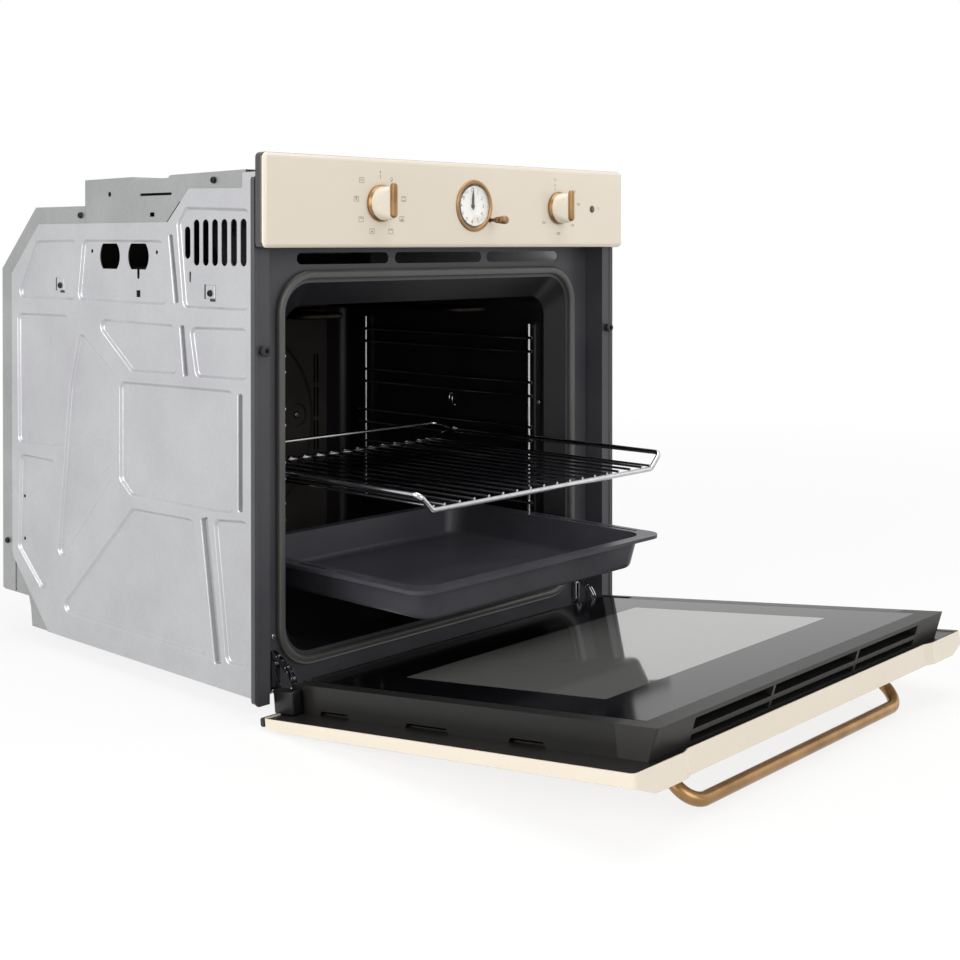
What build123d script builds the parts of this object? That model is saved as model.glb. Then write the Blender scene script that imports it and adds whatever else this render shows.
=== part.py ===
from build123d import *
import os
from math import atan2, cos, degrees, hypot, radians, sin, tan

os.makedirs("parts", exist_ok=True)

# A built-in oven, in millimetres: X to the right, Y to the back, Z up, seen with its door open.
# The origin is at the middle of the width, on the front face of the frame's outer band, at the base.

# Sheets, and the clearances between pieces
SHEET = 1.0
FRAME_SHEET = 1.2
DOOR_SHEET = 1.2
GAP = 0.3
PLAY = 0.05

# Front frame: a flat outer band with a raised bead, and a recess that the door closes into
FRAME_HALF = 297.5
FRAME_TOP = 556.0
FRAME_CORNER = 8.0
BEAD_WIDTH = 5.2
BEAD_PROUD = 1.2
BEAD_SLOPE = 1.2
HEM_DEPTH = 5.0
RECESS_DEPTH = 27.4
RECESS_HALF = FRAME_HALF - 22.0
RECESS_DRAFT = 1.5
VENT_REACH = RECESS_HALF - 57.5
VENT_MIDDLE = 145.0
VENT_BAR = 10.0
VENT_LOW = FRAME_TOP - 96.0
VENT_HEIGHT = 13.0
WINDOW_HALF = RECESS_HALF - 13.5
WINDOW_LOW = FRAME_TOP - 70.0
WINDOW_HEIGHT = 63.0

# Cabinet fixing bushes in the outer band
BUSH_X = FRAME_HALF - 11.5
BUSH_Z = FRAME_TOP - 185.0
BUSH_HEAD = 12.0
BUSH_PROUD = 7.6
BUSH_NECK = 9.0
BUSH_BORE = 5.0

# Case
CASE_HALF = FRAME_HALF - 18.5
SIDE_FRONT = 15.0
SIDE_REAR = 522.0
SIDE_TOP = FRAME_TOP - 49.0
CASE_REAR = SIDE_REAR + 25.0
PRESSING = 3.0
PRESSING_RADIUS = 9.0
PRESSING_BEND = 1.6
DEEP_PRESSING = 5.0
DEEP_RADIUS = 2.5
REAR_TOP = SIDE_TOP + 21.0
REAR_LOW = 38.5
REAR_BEVEL_LOW = REAR_TOP - 77.0
REAR_BEVEL_FRONT = CASE_REAR - 83.0
TOP_COVER_REAR = SIDE_REAR - 171.0
TOP_COVER_HIGH = FRAME_TOP + 6.0
BASE_REAR_STEP = 37.0
OVERLAP = 6.0
INLET_X = 74.0 - CASE_HALF
INLET_Z = 110.0
INLET_RADIUS = 8.0

# Cavity
MOUTH_HALF = RECESS_HALF - 41.5
MOUTH_LOW = 36.0
MOUTH_HIGH = FRAME_TOP - 116.0
MOUTH_RADIUS = 34.0
FLARE = 22.0
CAVITY_HALF = MOUTH_HALF - 17.0
CAVITY_FLOOR = 43.0
CAVITY_CEILING = MOUTH_HIGH - 26.0
CAVITY_REAR = CASE_REAR - 102.0
CAVITY_RADIUS = 26.0
CAVITY_REAR_RADIUS = 16.0
LINER_FLANGE = 8.0
GASKET_WIDTH = 10.0
GASKET_HEIGHT = 7.0
GASKET_LIP = 3.8
BLANKET = 25.0

# Fascia and controls
FASCIA_HALF = FRAME_HALF + 1.0
FASCIA_LOW = FRAME_TOP - 78.0
FASCIA_HEIGHT = 100.0
FASCIA_FRONT = -17.75
FASCIA_BACK = -4.2
FASCIA_SHEET = 1.5
FASCIA_RADIUS = 6.0
CONTROL_Z = FASCIA_LOW + 49.5
SELECTOR_X = 162.5 - FASCIA_HALF
THERMOSTAT_X = FASCIA_HALF - 131.5
KNOB_RING = 41.0
KNOB_BODY = 34.0
KNOB_STEM = 8.0
CLOCK_X = 13.5
CLOCK_BEZEL = 61.5
CLOCK_DIAL = 50.0
SETTING_X = CLOCK_X + 27.5
SETTING_Z = CONTROL_Z - 16.5
LAMP_X = FASCIA_HALF - 64.5

# Cavity fittings
RACK_WIRE = 4.0
RACK_POST = 5.0
RACK_POSTS_Y = (72.0, CAVITY_REAR - 51.0)
RACK_LEVELS = (0.212, 0.3585, 0.481, 0.6415, 0.8005)
RACK_RUNGS = [CAVITY_FLOOR + level * (CAVITY_CEILING - CAVITY_FLOOR) for level in RACK_LEVELS]
RACK_PAIR = 18.0
SHELF_ROD = 6.0
SHELF_WIRE = 3.0
SHELF_HALF = CAVITY_HALF - 12.8
SHELF_BAR_HALF = SHELF_HALF - 18.2
SHELF_FRONT = -149.7
SHELF_REAR = CAVITY_REAR - 204.0
SHELF_RAIL_Z = RACK_RUNGS[2] + 5.5
SHELF_BAR_Z = SHELF_RAIL_Z - 18.0
SHELF_WIRES = 16
SHELF_PITCH = 2 * (SHELF_BAR_HALF - 18.0) / (SHELF_WIRES - 1)
TRAY_HALF = CAVITY_HALF - 10.0
TRAY_FRONT = -154.7
TRAY_LENGTH = CAVITY_REAR - 90.0
TRAY_TOP = RACK_RUNGS[0] + 6.4
TRAY_DEPTH = 39.0
TRAY_SHEET = 1.2
TRAY_RIM = 18.9
TRAY_SLOPE = 12.5
TRAY_CORNER = 22.0
ELEMENT_ROD = 6.5
FAN_Z = (CAVITY_FLOOR + CAVITY_CEILING) / 2
FAN_DISH_RADIUS = 87.5
FAN_DISH = 14.0
FAN_RADIUS = 66.0
COVER_HALF = CAVITY_HALF - 49.0
COVER_MARGIN = 27.0
COVER_DEPTH = 15.0
COVER_ROUND = 142.0
COVER_SINK = 4.0
LIGHT_X = 67.0 - CAVITY_HALF
LIGHT_Z = CAVITY_CEILING - 64.0

# Cooling blower above the cavity
BLOWER_Y = TOP_COVER_REAR - 51.0
BLOWER_LOW = MOUTH_HIGH + 12.0
BLOWER_RISE = 46.0
BLOWER_RADIUS = 30.0
BLOWER_HALF = 90.0
BLOWER_BLADES = 20
BLOWER_SHAFT = 3.0

# Door: x across, L up the door from its lower edge, w outwards from the rim of the outer panel
DOOR_TILT = 6.847
HINGE_Y = -14.0
HINGE_Z = -13.0
PIN_BELOW = 1.0
PIN_DEPTH = 6.0
PANEL_HALF = FRAME_HALF + 0.5
PANEL_HEIGHT = FASCIA_LOW + 9.0
PANEL_RIM = 12.0
PANEL_FIELD = 22.5
PANEL_FOOT = 9.0
PANEL_BEVEL_SIDE = 26.0
PANEL_BEVEL_LOW = 93.0
PANEL_NOTCH = 4.5
PANEL_NOTCH_HALF = PANEL_HALF - 70.0
DOOR_WINDOW_HALF = PANEL_HALF - 113.0
DOOR_WINDOW_LOW = 119.0
DOOR_WINDOW_HEIGHT = PANEL_HEIGHT - 239.0
DOOR_WINDOW_CORNER = 10.0
INNER_HALF = PANEL_HALF - 37.0
INNER_DEPTH = 27.5
GLASS = 4.0
TRIM_HIGH = PANEL_HEIGHT - 0.4
TRIM_LOW = TRIM_HIGH - 46.6
TRIM_LEAN = 12.6
INNER_GLASS_HALF = INNER_HALF - 17.0
INNER_GLASS_LOW = 14.0
INNER_GLASS_HIGH = TRIM_HIGH - 24.9
HANDLE_TUBE = 13.0
HANDLE_HALF = PANEL_HALF - 106.0
HANDLE_FOOT = PANEL_HEIGHT - 61.0
HANDLE_REACH = 35.0
HANDLE_BEND = 22.0

# Door hinges
ARM_X = RECESS_HALF - 25.0
ARM_THICK = 4.0
ARM_WIDTH = 7.0
ARM_SLOT = 8.0
HINGE_PIN = 3.5
LATCH_LENGTH = 22.0


def front(y):
    """Drawing plane at depth y, seen from the front; a negative extrusion runs to the back."""
    return Plane.XZ.offset(-y)


def side(x):
    """Drawing plane at x with Y across and Z up; a positive extrusion runs to the right."""
    return Plane.YZ.offset(x)


def bent_strip(points, thickness, closed=False):
    """Face of a folded sheet: the points follow one skin and the sheet lies to their left."""
    with BuildSketch() as strip:
        with BuildLine() as skin:
            Polyline(*points, close=closed)
            offset(amount=thickness, side=Side.LEFT, kind=Kind.INTERSECTION)
        make_face()
    return strip.sketch


def rounded_opening(half, low, high, radius, grow=0.0):
    """Rounded rectangle centred on X = 0 between two heights, drawn in the active sketch."""
    with Locations((0, (low + high) / 2)):
        RectangleRounded(2 * (half + grow), high - low + 2 * grow, radius + grow)


def bent_rod(points, bend, diameter):
    """Round rod along straight runs joined by bends."""
    with BuildPart() as rod:
        with BuildLine() as route:
            FilletPolyline(*points, radius=bend)
        with BuildSketch(Plane(origin=route.line @ 0, z_dir=route.line % 0)):
            Circle(diameter / 2)
        sweep()
    return rod.part


def finish(part, name):
    """Label a finished piece and write it out."""
    part.label = name
    export_step(part, f"parts/{name}.step")


# Front frame, folded from one sheet
band_inner = FRAME_HALF - BEAD_WIDTH
column_half = RECESS_HALF + RECESS_DRAFT
half_profile = [
    (RECESS_HALF, RECESS_DEPTH),
    (column_half, 0),
    (band_inner - BEAD_SLOPE, 0),
    (band_inner, -BEAD_PROUD),
    (FRAME_HALF, -BEAD_PROUD),
    (FRAME_HALF, HEM_DEPTH),
]
frame_profile = [(-x, y) for x, y in reversed(half_profile)] + half_profile
frame_back = RECESS_DEPTH + FRAME_SHEET
arm_slot_low = 4.0
arm_slot_high = 46.0
arm_slot_mid = (arm_slot_low + arm_slot_high) / 2
side_vent = VENT_REACH - VENT_BAR - VENT_MIDDLE / 2
side_vent_x = VENT_REACH - side_vent / 2

with BuildPart() as front_frame:
    with BuildSketch(Plane.XY):
        add(bent_strip(frame_profile, FRAME_SHEET))
    extrude(amount=FRAME_TOP)
    with BuildSketch(front(-BEAD_PROUD)):
        with Locations((0, FRAME_TOP / 2)):
            RectangleRounded(2 * FRAME_HALF, FRAME_TOP, FRAME_CORNER)
    extrude(amount=-2 * frame_back, mode=Mode.INTERSECT)
    # turned-back top edge of the recess
    with BuildSketch(front(RECESS_DEPTH)):
        with Locations((0, FRAME_TOP - FRAME_SHEET / 2)):
            Rectangle(2 * RECESS_HALF, FRAME_SHEET)
    extrude(amount=-HEM_DEPTH * 2)
    # cavity mouth, cooling vents, window for the controls, hinge slots and fixing holes
    with BuildSketch(front(0)):
        rounded_opening(MOUTH_HALF, MOUTH_LOW, MOUTH_HIGH, MOUTH_RADIUS)
        for x, width in ((-side_vent_x, side_vent), (0, VENT_MIDDLE), (side_vent_x, side_vent)):
            with Locations((x, VENT_LOW + VENT_HEIGHT / 2)):
                SlotOverall(width, VENT_HEIGHT)
        with Locations((0, WINDOW_LOW + WINDOW_HEIGHT / 2)):
            RectangleRounded(2 * WINDOW_HALF, WINDOW_HEIGHT, FRAME_CORNER)
        with Locations((-ARM_X, arm_slot_mid), (ARM_X, arm_slot_mid)):
            RectangleRounded(ARM_SLOT, arm_slot_high - arm_slot_low, ARM_SLOT / 4)
        with Locations((-BUSH_X, BUSH_Z), (BUSH_X, BUSH_Z)):
            Circle(BUSH_NECK / 2 + PLAY)
    extrude(amount=-2 * frame_back, mode=Mode.SUBTRACT)
finish(front_frame.part, "front_frame")

# Cabinet fixing bushes: a head in front of the band, a neck through it and a lip behind
with BuildPart() as fixing_bushes:
    with BuildSketch(Plane.XY.offset(BUSH_Z)):
        with BuildLine():
            Polyline(
                (BUSH_X + BUSH_BORE / 2, -BUSH_PROUD),
                (BUSH_X + BUSH_HEAD / 2 - 1, -BUSH_PROUD),
                (BUSH_X + BUSH_HEAD / 2, -BUSH_PROUD + 1),
                (BUSH_X + BUSH_HEAD / 2 - 1.2, 0),
                (BUSH_X + BUSH_NECK / 2, 0),
                (BUSH_X + BUSH_NECK / 2, FRAME_SHEET),
                (BUSH_X + BUSH_NECK / 2 + 1, FRAME_SHEET),
                (BUSH_X + BUSH_BORE / 2 + 1, FRAME_SHEET + 3),
                (BUSH_X + BUSH_BORE / 2, FRAME_SHEET + 3),
                close=True,
            )
        make_face()
    revolve(axis=Axis((BUSH_X, 0, BUSH_Z), (0, 1, 0)))
    mirror(about=Plane.YZ)
finish(fixing_bushes.part, "fixing_bushes")

# Door gasket, a soft ring on the recess round the cavity mouth
gasket_inner = GASKET_LIP
with BuildPart() as door_gasket:
    with BuildSketch(front(RECESS_DEPTH)):
        rounded_opening(MOUTH_HALF, MOUTH_LOW, MOUTH_HIGH, MOUTH_RADIUS, gasket_inner + GASKET_WIDTH)
        with Locations((0, (MOUTH_LOW + MOUTH_HIGH) / 2)):
            RectangleRounded(
                2 * (MOUTH_HALF + gasket_inner),
                MOUTH_HIGH - MOUTH_LOW + 2 * gasket_inner,
                MOUTH_RADIUS + gasket_inner,
                mode=Mode.SUBTRACT,
            )
    extrude(amount=GASKET_HEIGHT)
    fillet(door_gasket.faces().sort_by(Axis.Y)[0].edges(), radius=GASKET_WIDTH * 0.4)
finish(door_gasket.part, "door_gasket")

# Cavity liner: a flared mouth, a deep box and a dish in the rear wall for the fan
mouth_y = frame_back
flare_end = mouth_y + FLARE


def cavity_form(grow):
    """Solid of the cavity's inner space, grown by a wall thickness."""
    with BuildPart() as form:
        with BuildSketch(front(mouth_y)):
            rounded_opening(MOUTH_HALF, MOUTH_LOW, MOUTH_HIGH, MOUTH_RADIUS, grow)
        with BuildSketch(front(flare_end)):
            rounded_opening(CAVITY_HALF, CAVITY_FLOOR, CAVITY_CEILING, CAVITY_RADIUS, grow)
        loft()
        with BuildSketch(front(flare_end)):
            rounded_opening(CAVITY_HALF, CAVITY_FLOOR, CAVITY_CEILING, CAVITY_RADIUS, grow)
        extrude(amount=flare_end - CAVITY_REAR - grow)
        fillet(form.faces().sort_by(Axis.Y)[-1].edges(), radius=CAVITY_REAR_RADIUS + grow)
        with BuildSketch(front(CAVITY_REAR)):
            with Locations((0, FAN_Z)):
                Circle(FAN_DISH_RADIUS + grow)
        extrude(amount=-FAN_DISH - grow)
    return form.part


fan_shaft_hole = 7.0
terminal_x = 25.0
grill_z = CAVITY_CEILING - 16
terminal_hole = ELEMENT_ROD / 2 + 0.5
ring_radius = 78.0
ring_split = 12.0
ring_terminal = (ring_split, FAN_Z - (ring_radius**2 - ring_split**2) ** 0.5)
light_hole = 23.0
channel_y = flare_end + 10.4
channel_width = 14.0
channel_depth = 2.0
channel_ends = (MOUTH_LOW + 64.0, CAVITY_CEILING - 34.0)


def wall_channel(grow):
    """Shallow channels pressed outwards in both side walls, in front of the racks."""
    with BuildPart() as channels:
        with BuildSketch(side(CAVITY_HALF)):
            with Locations((channel_y, sum(channel_ends) / 2)):
                SlotOverall(
                    channel_ends[1] - channel_ends[0] + 2 * grow, channel_width + 2 * grow, rotation=90
                )
        extrude(amount=channel_depth + grow, taper=45)
        mirror(about=Plane.YZ)
    return channels.part


with BuildPart() as cavity_liner:
    add(cavity_form(SHEET))
    add(wall_channel(SHEET))
    with BuildSketch(front(mouth_y)):
        rounded_opening(MOUTH_HALF, MOUTH_LOW, MOUTH_HIGH, MOUTH_RADIUS, LINER_FLANGE)
    extrude(amount=-SHEET)
    add(cavity_form(0), mode=Mode.SUBTRACT)
    add(wall_channel(0), mode=Mode.SUBTRACT)
    with BuildSketch(front(CAVITY_REAR - GAP)):
        with Locations((0, FAN_Z)):
            Circle(fan_shaft_hole)
        with Locations((-terminal_x, grill_z), (terminal_x, grill_z)):
            Circle(terminal_hole)
        with Locations((-ring_terminal[0], ring_terminal[1]), ring_terminal):
            Circle(terminal_hole)
        with Locations((LIGHT_X, LIGHT_Z)):
            Circle(light_hole)
    extrude(amount=-2 * FAN_DISH, mode=Mode.SUBTRACT)
finish(cavity_liner.part, "cavity_liner")

# Insulation blanket round the liner, open at the front
blanket_gap = 0.5
blanket_front = channel_y + channel_width / 2 + 2 * SHEET
liner_back = CAVITY_REAR + SHEET
blanket_back = liner_back + BLANKET
element_space = 11.0
lower_element_z = CAVITY_FLOOR - SHEET - element_space / 2
with BuildPart() as insulation_blanket:
    with BuildSketch(front(blanket_front)):
        rounded_opening(CAVITY_HALF, CAVITY_FLOOR, CAVITY_CEILING, CAVITY_RADIUS, SHEET + BLANKET + 3)
    extrude(amount=blanket_front - blanket_back)
    with BuildSketch(front(blanket_front)):
        rounded_opening(CAVITY_HALF, CAVITY_FLOOR, CAVITY_CEILING, CAVITY_RADIUS, SHEET + blanket_gap)
    extrude(amount=blanket_front - liner_back - blanket_gap, mode=Mode.SUBTRACT)
    # room for the lower element and the fan dish
    with BuildSketch(Plane.XY.offset(CAVITY_FLOOR)):
        with Locations((0, (blanket_front + liner_back) / 2)):
            Rectangle(2 * CAVITY_HALF - 2 * CAVITY_RADIUS, liner_back - blanket_front - 2 * FLARE)
    extrude(amount=-SHEET - element_space, mode=Mode.SUBTRACT)
    with BuildSketch(front(liner_back)):
        with Locations((0, FAN_Z)):
            Circle(FAN_DISH_RADIUS + SHEET + 4 * blanket_gap)
    extrude(amount=-FAN_DISH - blanket_gap, mode=Mode.SUBTRACT)
    # ways through the rear for the motor's legs and shaft tube, the terminals and the light
    with BuildSketch(front(liner_back)):
        with Locations((0, FAN_Z)):
            Circle(10)
            with PolarLocations(44, 3, start_angle=90):
                Circle(4.5)
        with Locations((-terminal_x, grill_z), (terminal_x, grill_z)):
            Circle(terminal_hole + 1)
        with Locations((-ring_terminal[0], ring_terminal[1]), ring_terminal):
            Circle(terminal_hole + 1)
        with Locations((LIGHT_X, LIGHT_Z)):
            Circle(light_hole + 1)
    extrude(amount=-BLANKET - FAN_DISH, mode=Mode.SUBTRACT)
    with BuildSketch(front(liner_back - 2 * FLARE)):
        with Locations((-terminal_x, lower_element_z), (terminal_x, lower_element_z)):
            Circle(terminal_hole)
    extrude(amount=-2 * FLARE - BLANKET - FAN_DISH, mode=Mode.SUBTRACT)
finish(insulation_blanket.part, "insulation_blanket")

# Side panels: one pressed sheet, with fields sunk between the ribs that are left standing
side_bevel = (SIDE_REAR - 66.0, SIDE_TOP - 62.0)
side_step = (139.0, 180.0)
side_foot = (SIDE_REAR - 84.0, 90.0)
side_outline = [
    (SIDE_FRONT, 0),
    (side_foot[0], 0),
    (side_foot[0], 3),
    (SIDE_REAR - 4, side_foot[1] - 9),
    (SIDE_REAR, side_foot[1]),
    (SIDE_REAR, side_bevel[1]),
    (side_bevel[0], SIDE_TOP),
    (side_step[1], SIDE_TOP),
    (side_step[0], SIDE_TOP + 37),
    (43, SIDE_TOP + 35),
    (43, FRAME_TOP + 3),
    (SIDE_FRONT, FRAME_TOP + 3),
]
pressed_size = (522.0, 507.0)
pressed_fields = [
    [(510, 414), (463, 487), (369, 488), (372, 414)],
    [(355, 488), (190, 487), (181, 413), (367, 414)],
    [(162, 505), (147, 524), (32, 520), (32, 411), (150, 411)],
    [(508, 395), (387, 396), (415, 232), (507, 229)],
    [(336, 394), (168, 392), (162, 336), (252, 334)],
    [(139, 391), (36, 393), (36, 337), (127, 335)],
    [(363, 378), (291, 332), (291, 207), (416, 82), (386, 307)],
    [(277, 322), (60, 325), (60, 192), (114, 190), (254, 190), (277, 206)],
    [(502, 216), (417, 215), (444, 44), (508, 96)],
    [(252, 176), (133, 178), (108, 30), (412, 31)],
    [(95, 183), (34, 188), (34, 31), (73, 29)],
]
deep_grooves = [
    [(118, 180), (106, 184), (82, 27), (93, 25)],
    [(157, 391), (149, 392), (141, 336), (150, 335)],
    [(178, 493), (171, 493), (159, 417), (167, 416)],
    [(51, 322), (44, 322), (44, 196), (51, 196)],
]
access_holes = [(301, 468), (242, 468)]
access_radius = 21.0
access_height = 30.0
small_holes = [(339, 474), (205, 473), (496, 162), (496, 108), (412, 435), (104, 432)]
small_hole_radius = 2.3
key_slot = (242, 449)
square_hole = (242, 425)
short_slot = (141, 446)
louvre_first = (45, 484)
louvre_pitch = 16.8
louvre_width = 10.5
louvre_heights = (51.0,) * 6 + (36.0,)


def on_panel(points):
    """Points measured on a panel of the pressed size, stretched to this panel."""
    return [(y * SIDE_REAR / pressed_size[0], z * SIDE_TOP / pressed_size[1]) for y, z in points]


def polygon(points, radius):
    """Filled outline with rounded corners, drawn in the active sketch."""
    with BuildLine() as outline:
        FilletPolyline(*points, radius=radius, close=True)
    make_face(outline.edges())


def fields_sketch(plane, fields, radius, grow=0.0):
    """Sketch of every pressed field on a plane, grown by a margin."""
    with BuildSketch(plane) as sketch:
        for points in fields:
            polygon(on_panel(points), radius)
        if grow:
            offset(amount=grow, kind=Kind.ARC)
    return sketch.sketch


skin = CASE_HALF
inner_skin = CASE_HALF - SHEET
skin_spread = SHEET * tan(radians(22.5))

with BuildPart() as side_panel:
    with BuildSketch(side(inner_skin)):
        polygon(side_outline, 2)
    extrude(amount=SHEET)
    # the sheet bulges inwards behind each field and groove
    pressings = (
        (pressed_fields, PRESSING_RADIUS, PRESSING, 45),
        (deep_grooves, DEEP_RADIUS, DEEP_PRESSING, 15),
    )
    for fields, radius, depth, slope in pressings:
        extrude(fields_sketch(side(inner_skin), fields, radius, skin_spread), amount=-depth, taper=slope)
    for fields, radius, depth, slope in pressings:
        extrude(fields_sketch(side(skin), fields, radius), amount=-depth, taper=slope, mode=Mode.SUBTRACT)
    # the ribs' shoulders and the feet of the flanks are rounded
    outer_face = side_panel.faces().filter_by(Axis.X).sort_by(Axis.X)[-1]
    fillet([edge for wire in outer_face.inner_wires() for edge in wire.edges()], radius=PRESSING_BEND)
    floor_x = skin - PRESSING
    floors = side_panel.faces().filter_by(Axis.X).filter_by_position(Axis.X, floor_x - PLAY, floor_x + PLAY)
    fillet([edge for floor in floors for edge in floor.outer_wire().edges()], radius=PRESSING_BEND)
    # piercings
    with BuildSketch(side(skin)):
        with Locations(*on_panel(access_holes)):
            Circle(access_radius)
        with Locations(*on_panel([((access_holes[0][0] + access_holes[1][0]) / 2, access_holes[0][1])])):
            Rectangle(6 * access_radius, access_height, mode=Mode.INTERSECT)
        with Locations(*on_panel([key_slot])):
            SlotOverall(14, 5, rotation=90)
        with Locations(*on_panel(small_holes)):
            Circle(small_hole_radius)
        with Locations(*on_panel([square_hole])):
            Rectangle(8, 8)
        for i, height in enumerate(louvre_heights):
            with Locations(*on_panel([(louvre_first[0] + louvre_pitch * i, louvre_first[1])])):
                SlotOverall(height, louvre_width, rotation=90)
        with Locations(*on_panel([short_slot])):
            SlotOverall(12, 3, rotation=90)
    extrude(amount=-DEEP_PRESSING - SHEET, mode=Mode.SUBTRACT)
finish(side_panel.part, "side_panel_right")
finish(side_panel.part.mirror(Plane.YZ), "side_panel_left")

# Rear cover: one folded sheet whose flanges tuck under the side panels
cover_seam = TOP_COVER_REAR + GAP
rear_outer = [
    (SIDE_REAR - OVERLAP, REAR_LOW),
    (CASE_REAR, REAR_LOW),
    (CASE_REAR, REAR_BEVEL_LOW),
    (REAR_BEVEL_FRONT, REAR_TOP),
    (cover_seam, REAR_TOP),
    (cover_seam, SIDE_TOP - OVERLAP),
    (side_bevel[0] - OVERLAP / 2, SIDE_TOP - OVERLAP),
    (SIDE_REAR - OVERLAP, side_bevel[1] - OVERLAP / 2),
]
bevel_angle = degrees(atan2(REAR_TOP - REAR_BEVEL_LOW, CASE_REAR - REAR_BEVEL_FRONT))
bevel_inset = SHEET * tan(radians(bevel_angle / 2))
bevel_inset_low = SHEET * tan(radians((90 - bevel_angle) / 2))
rear_bead_x = 120.0
rear_bead_width = 24.0
rear_bead_ends = (REAR_LOW + 60.0, REAR_BEVEL_LOW - 52.0)
rear_vent_x = CASE_HALF - 79.0
rear_vent_z = REAR_BEVEL_LOW - 31.0
rear_vent_rows = 5
cheek_x = inner_skin - SHEET
with BuildPart() as rear_cover:
    with BuildSketch(side(-inner_skin)):
        with BuildLine():
            Polyline(*rear_outer, close=True)
        make_face()
    extrude(amount=2 * inner_skin)
    with BuildSketch(side(-cheek_x)):
        with BuildLine():
            Polyline(
                (0, REAR_LOW - SHEET),
                (CASE_REAR - SHEET, REAR_LOW - SHEET),
                (CASE_REAR - SHEET, REAR_BEVEL_LOW - bevel_inset_low),
                (REAR_BEVEL_FRONT - bevel_inset, REAR_TOP - SHEET),
                (0, REAR_TOP - SHEET),
                close=True,
            )
        make_face()
    extrude(amount=2 * cheek_x, mode=Mode.SUBTRACT)
    # two broad upright beads and two fields of cooling slots
    for grow, depth, mode in ((SHEET, CASE_REAR - SHEET, Mode.ADD), (0, CASE_REAR, Mode.SUBTRACT)):
        with BuildSketch(front(depth)):
            with Locations(*[(x, sum(rear_bead_ends) / 2) for x in (-rear_bead_x, rear_bead_x)]):
                bead_length = rear_bead_ends[1] - rear_bead_ends[0]
                SlotOverall(bead_length + 2 * grow, rear_bead_width + 2 * grow, rotation=90)
        extrude(amount=PRESSING, taper=30, mode=mode)
    with BuildSketch(front(CASE_REAR)):
        with Locations((-rear_vent_x, rear_vent_z), (rear_vent_x, rear_vent_z)):
            with GridLocations(0, 9, 1, rear_vent_rows):
                SlotOverall(70, 4)
        with Locations((INLET_X, INLET_Z)):
            Circle(INLET_RADIUS + 1)
    extrude(amount=2 * SHEET, mode=Mode.SUBTRACT)
finish(rear_cover.part, "rear_cover")

# Top cover over the blower, with its side walls tucked behind the side panels
cover_front = frame_back + 2 * HEM_DEPTH
dip = (180.0, 244.0)
dip_depth = 3.0
rim_z = TOP_COVER_HIGH - 2.0
cover_tuck = SIDE_TOP + 23.0
slit = (204.0, FRAME_TOP - 17.0)
with BuildPart() as top_cover:
    with BuildSketch(side(-inner_skin)):
        with BuildLine():
            Polyline(
                (cover_front, cover_tuck),
                (cover_front, TOP_COVER_HIGH),
                (dip[0] - 4, rim_z),
                (dip[0], rim_z - dip_depth),
                (dip[1], rim_z - dip_depth),
                (dip[1] + 6, rim_z),
                (TOP_COVER_REAR, rim_z - 1),
                (TOP_COVER_REAR, SIDE_TOP - OVERLAP),
                (side_step[1] + 10, SIDE_TOP - OVERLAP),
                (side_step[1] - 22, cover_tuck),
                close=True,
            )
        make_face()
    extrude(amount=2 * inner_skin)
    with BuildSketch(side(-cheek_x)):
        with BuildLine():
            Polyline(
                (0, 0),
                (0, TOP_COVER_HIGH - SHEET),
                (dip[0] - 4.5, rim_z - SHEET),
                (dip[0] - 0.5, rim_z - dip_depth - SHEET),
                (dip[1] + 0.5, rim_z - dip_depth - SHEET),
                (dip[1] + 6.5, rim_z - SHEET),
                (TOP_COVER_REAR - SHEET, rim_z - 1 - SHEET),
                (TOP_COVER_REAR - SHEET, 0),
                close=True,
            )
        make_face()
    extrude(amount=2 * cheek_x, mode=Mode.SUBTRACT)
    # the rear wall stops at the rear cover and turns back onto it
    with BuildSketch(front(TOP_COVER_REAR + SHEET)):
        with Locations((0, SIDE_TOP - OVERLAP)):
            Rectangle(2 * cheek_x, 2 * (REAR_TOP - SIDE_TOP + OVERLAP))
    extrude(amount=4 * SHEET, mode=Mode.SUBTRACT)
    with BuildSketch(Plane.XY.offset(REAR_TOP)):
        with Locations((0, TOP_COVER_REAR + OVERLAP - SHEET)):
            Rectangle(2 * inner_skin - 20, 2 * OVERLAP)
    extrude(amount=SHEET)
    # slits in both side walls
    with BuildSketch(side(-CASE_HALF)):
        with Locations(slit):
            SlotOverall(62, 3)
        with Locations((slit[0] + 7, slit[1] - 23)):
            Rectangle(9, 5)
        with Locations((slit[0] + 94, slit[1] + 2)):
            Circle(3)
    extrude(amount=2 * CASE_HALF, mode=Mode.SUBTRACT)
finish(top_cover.part, "top_cover")

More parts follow.
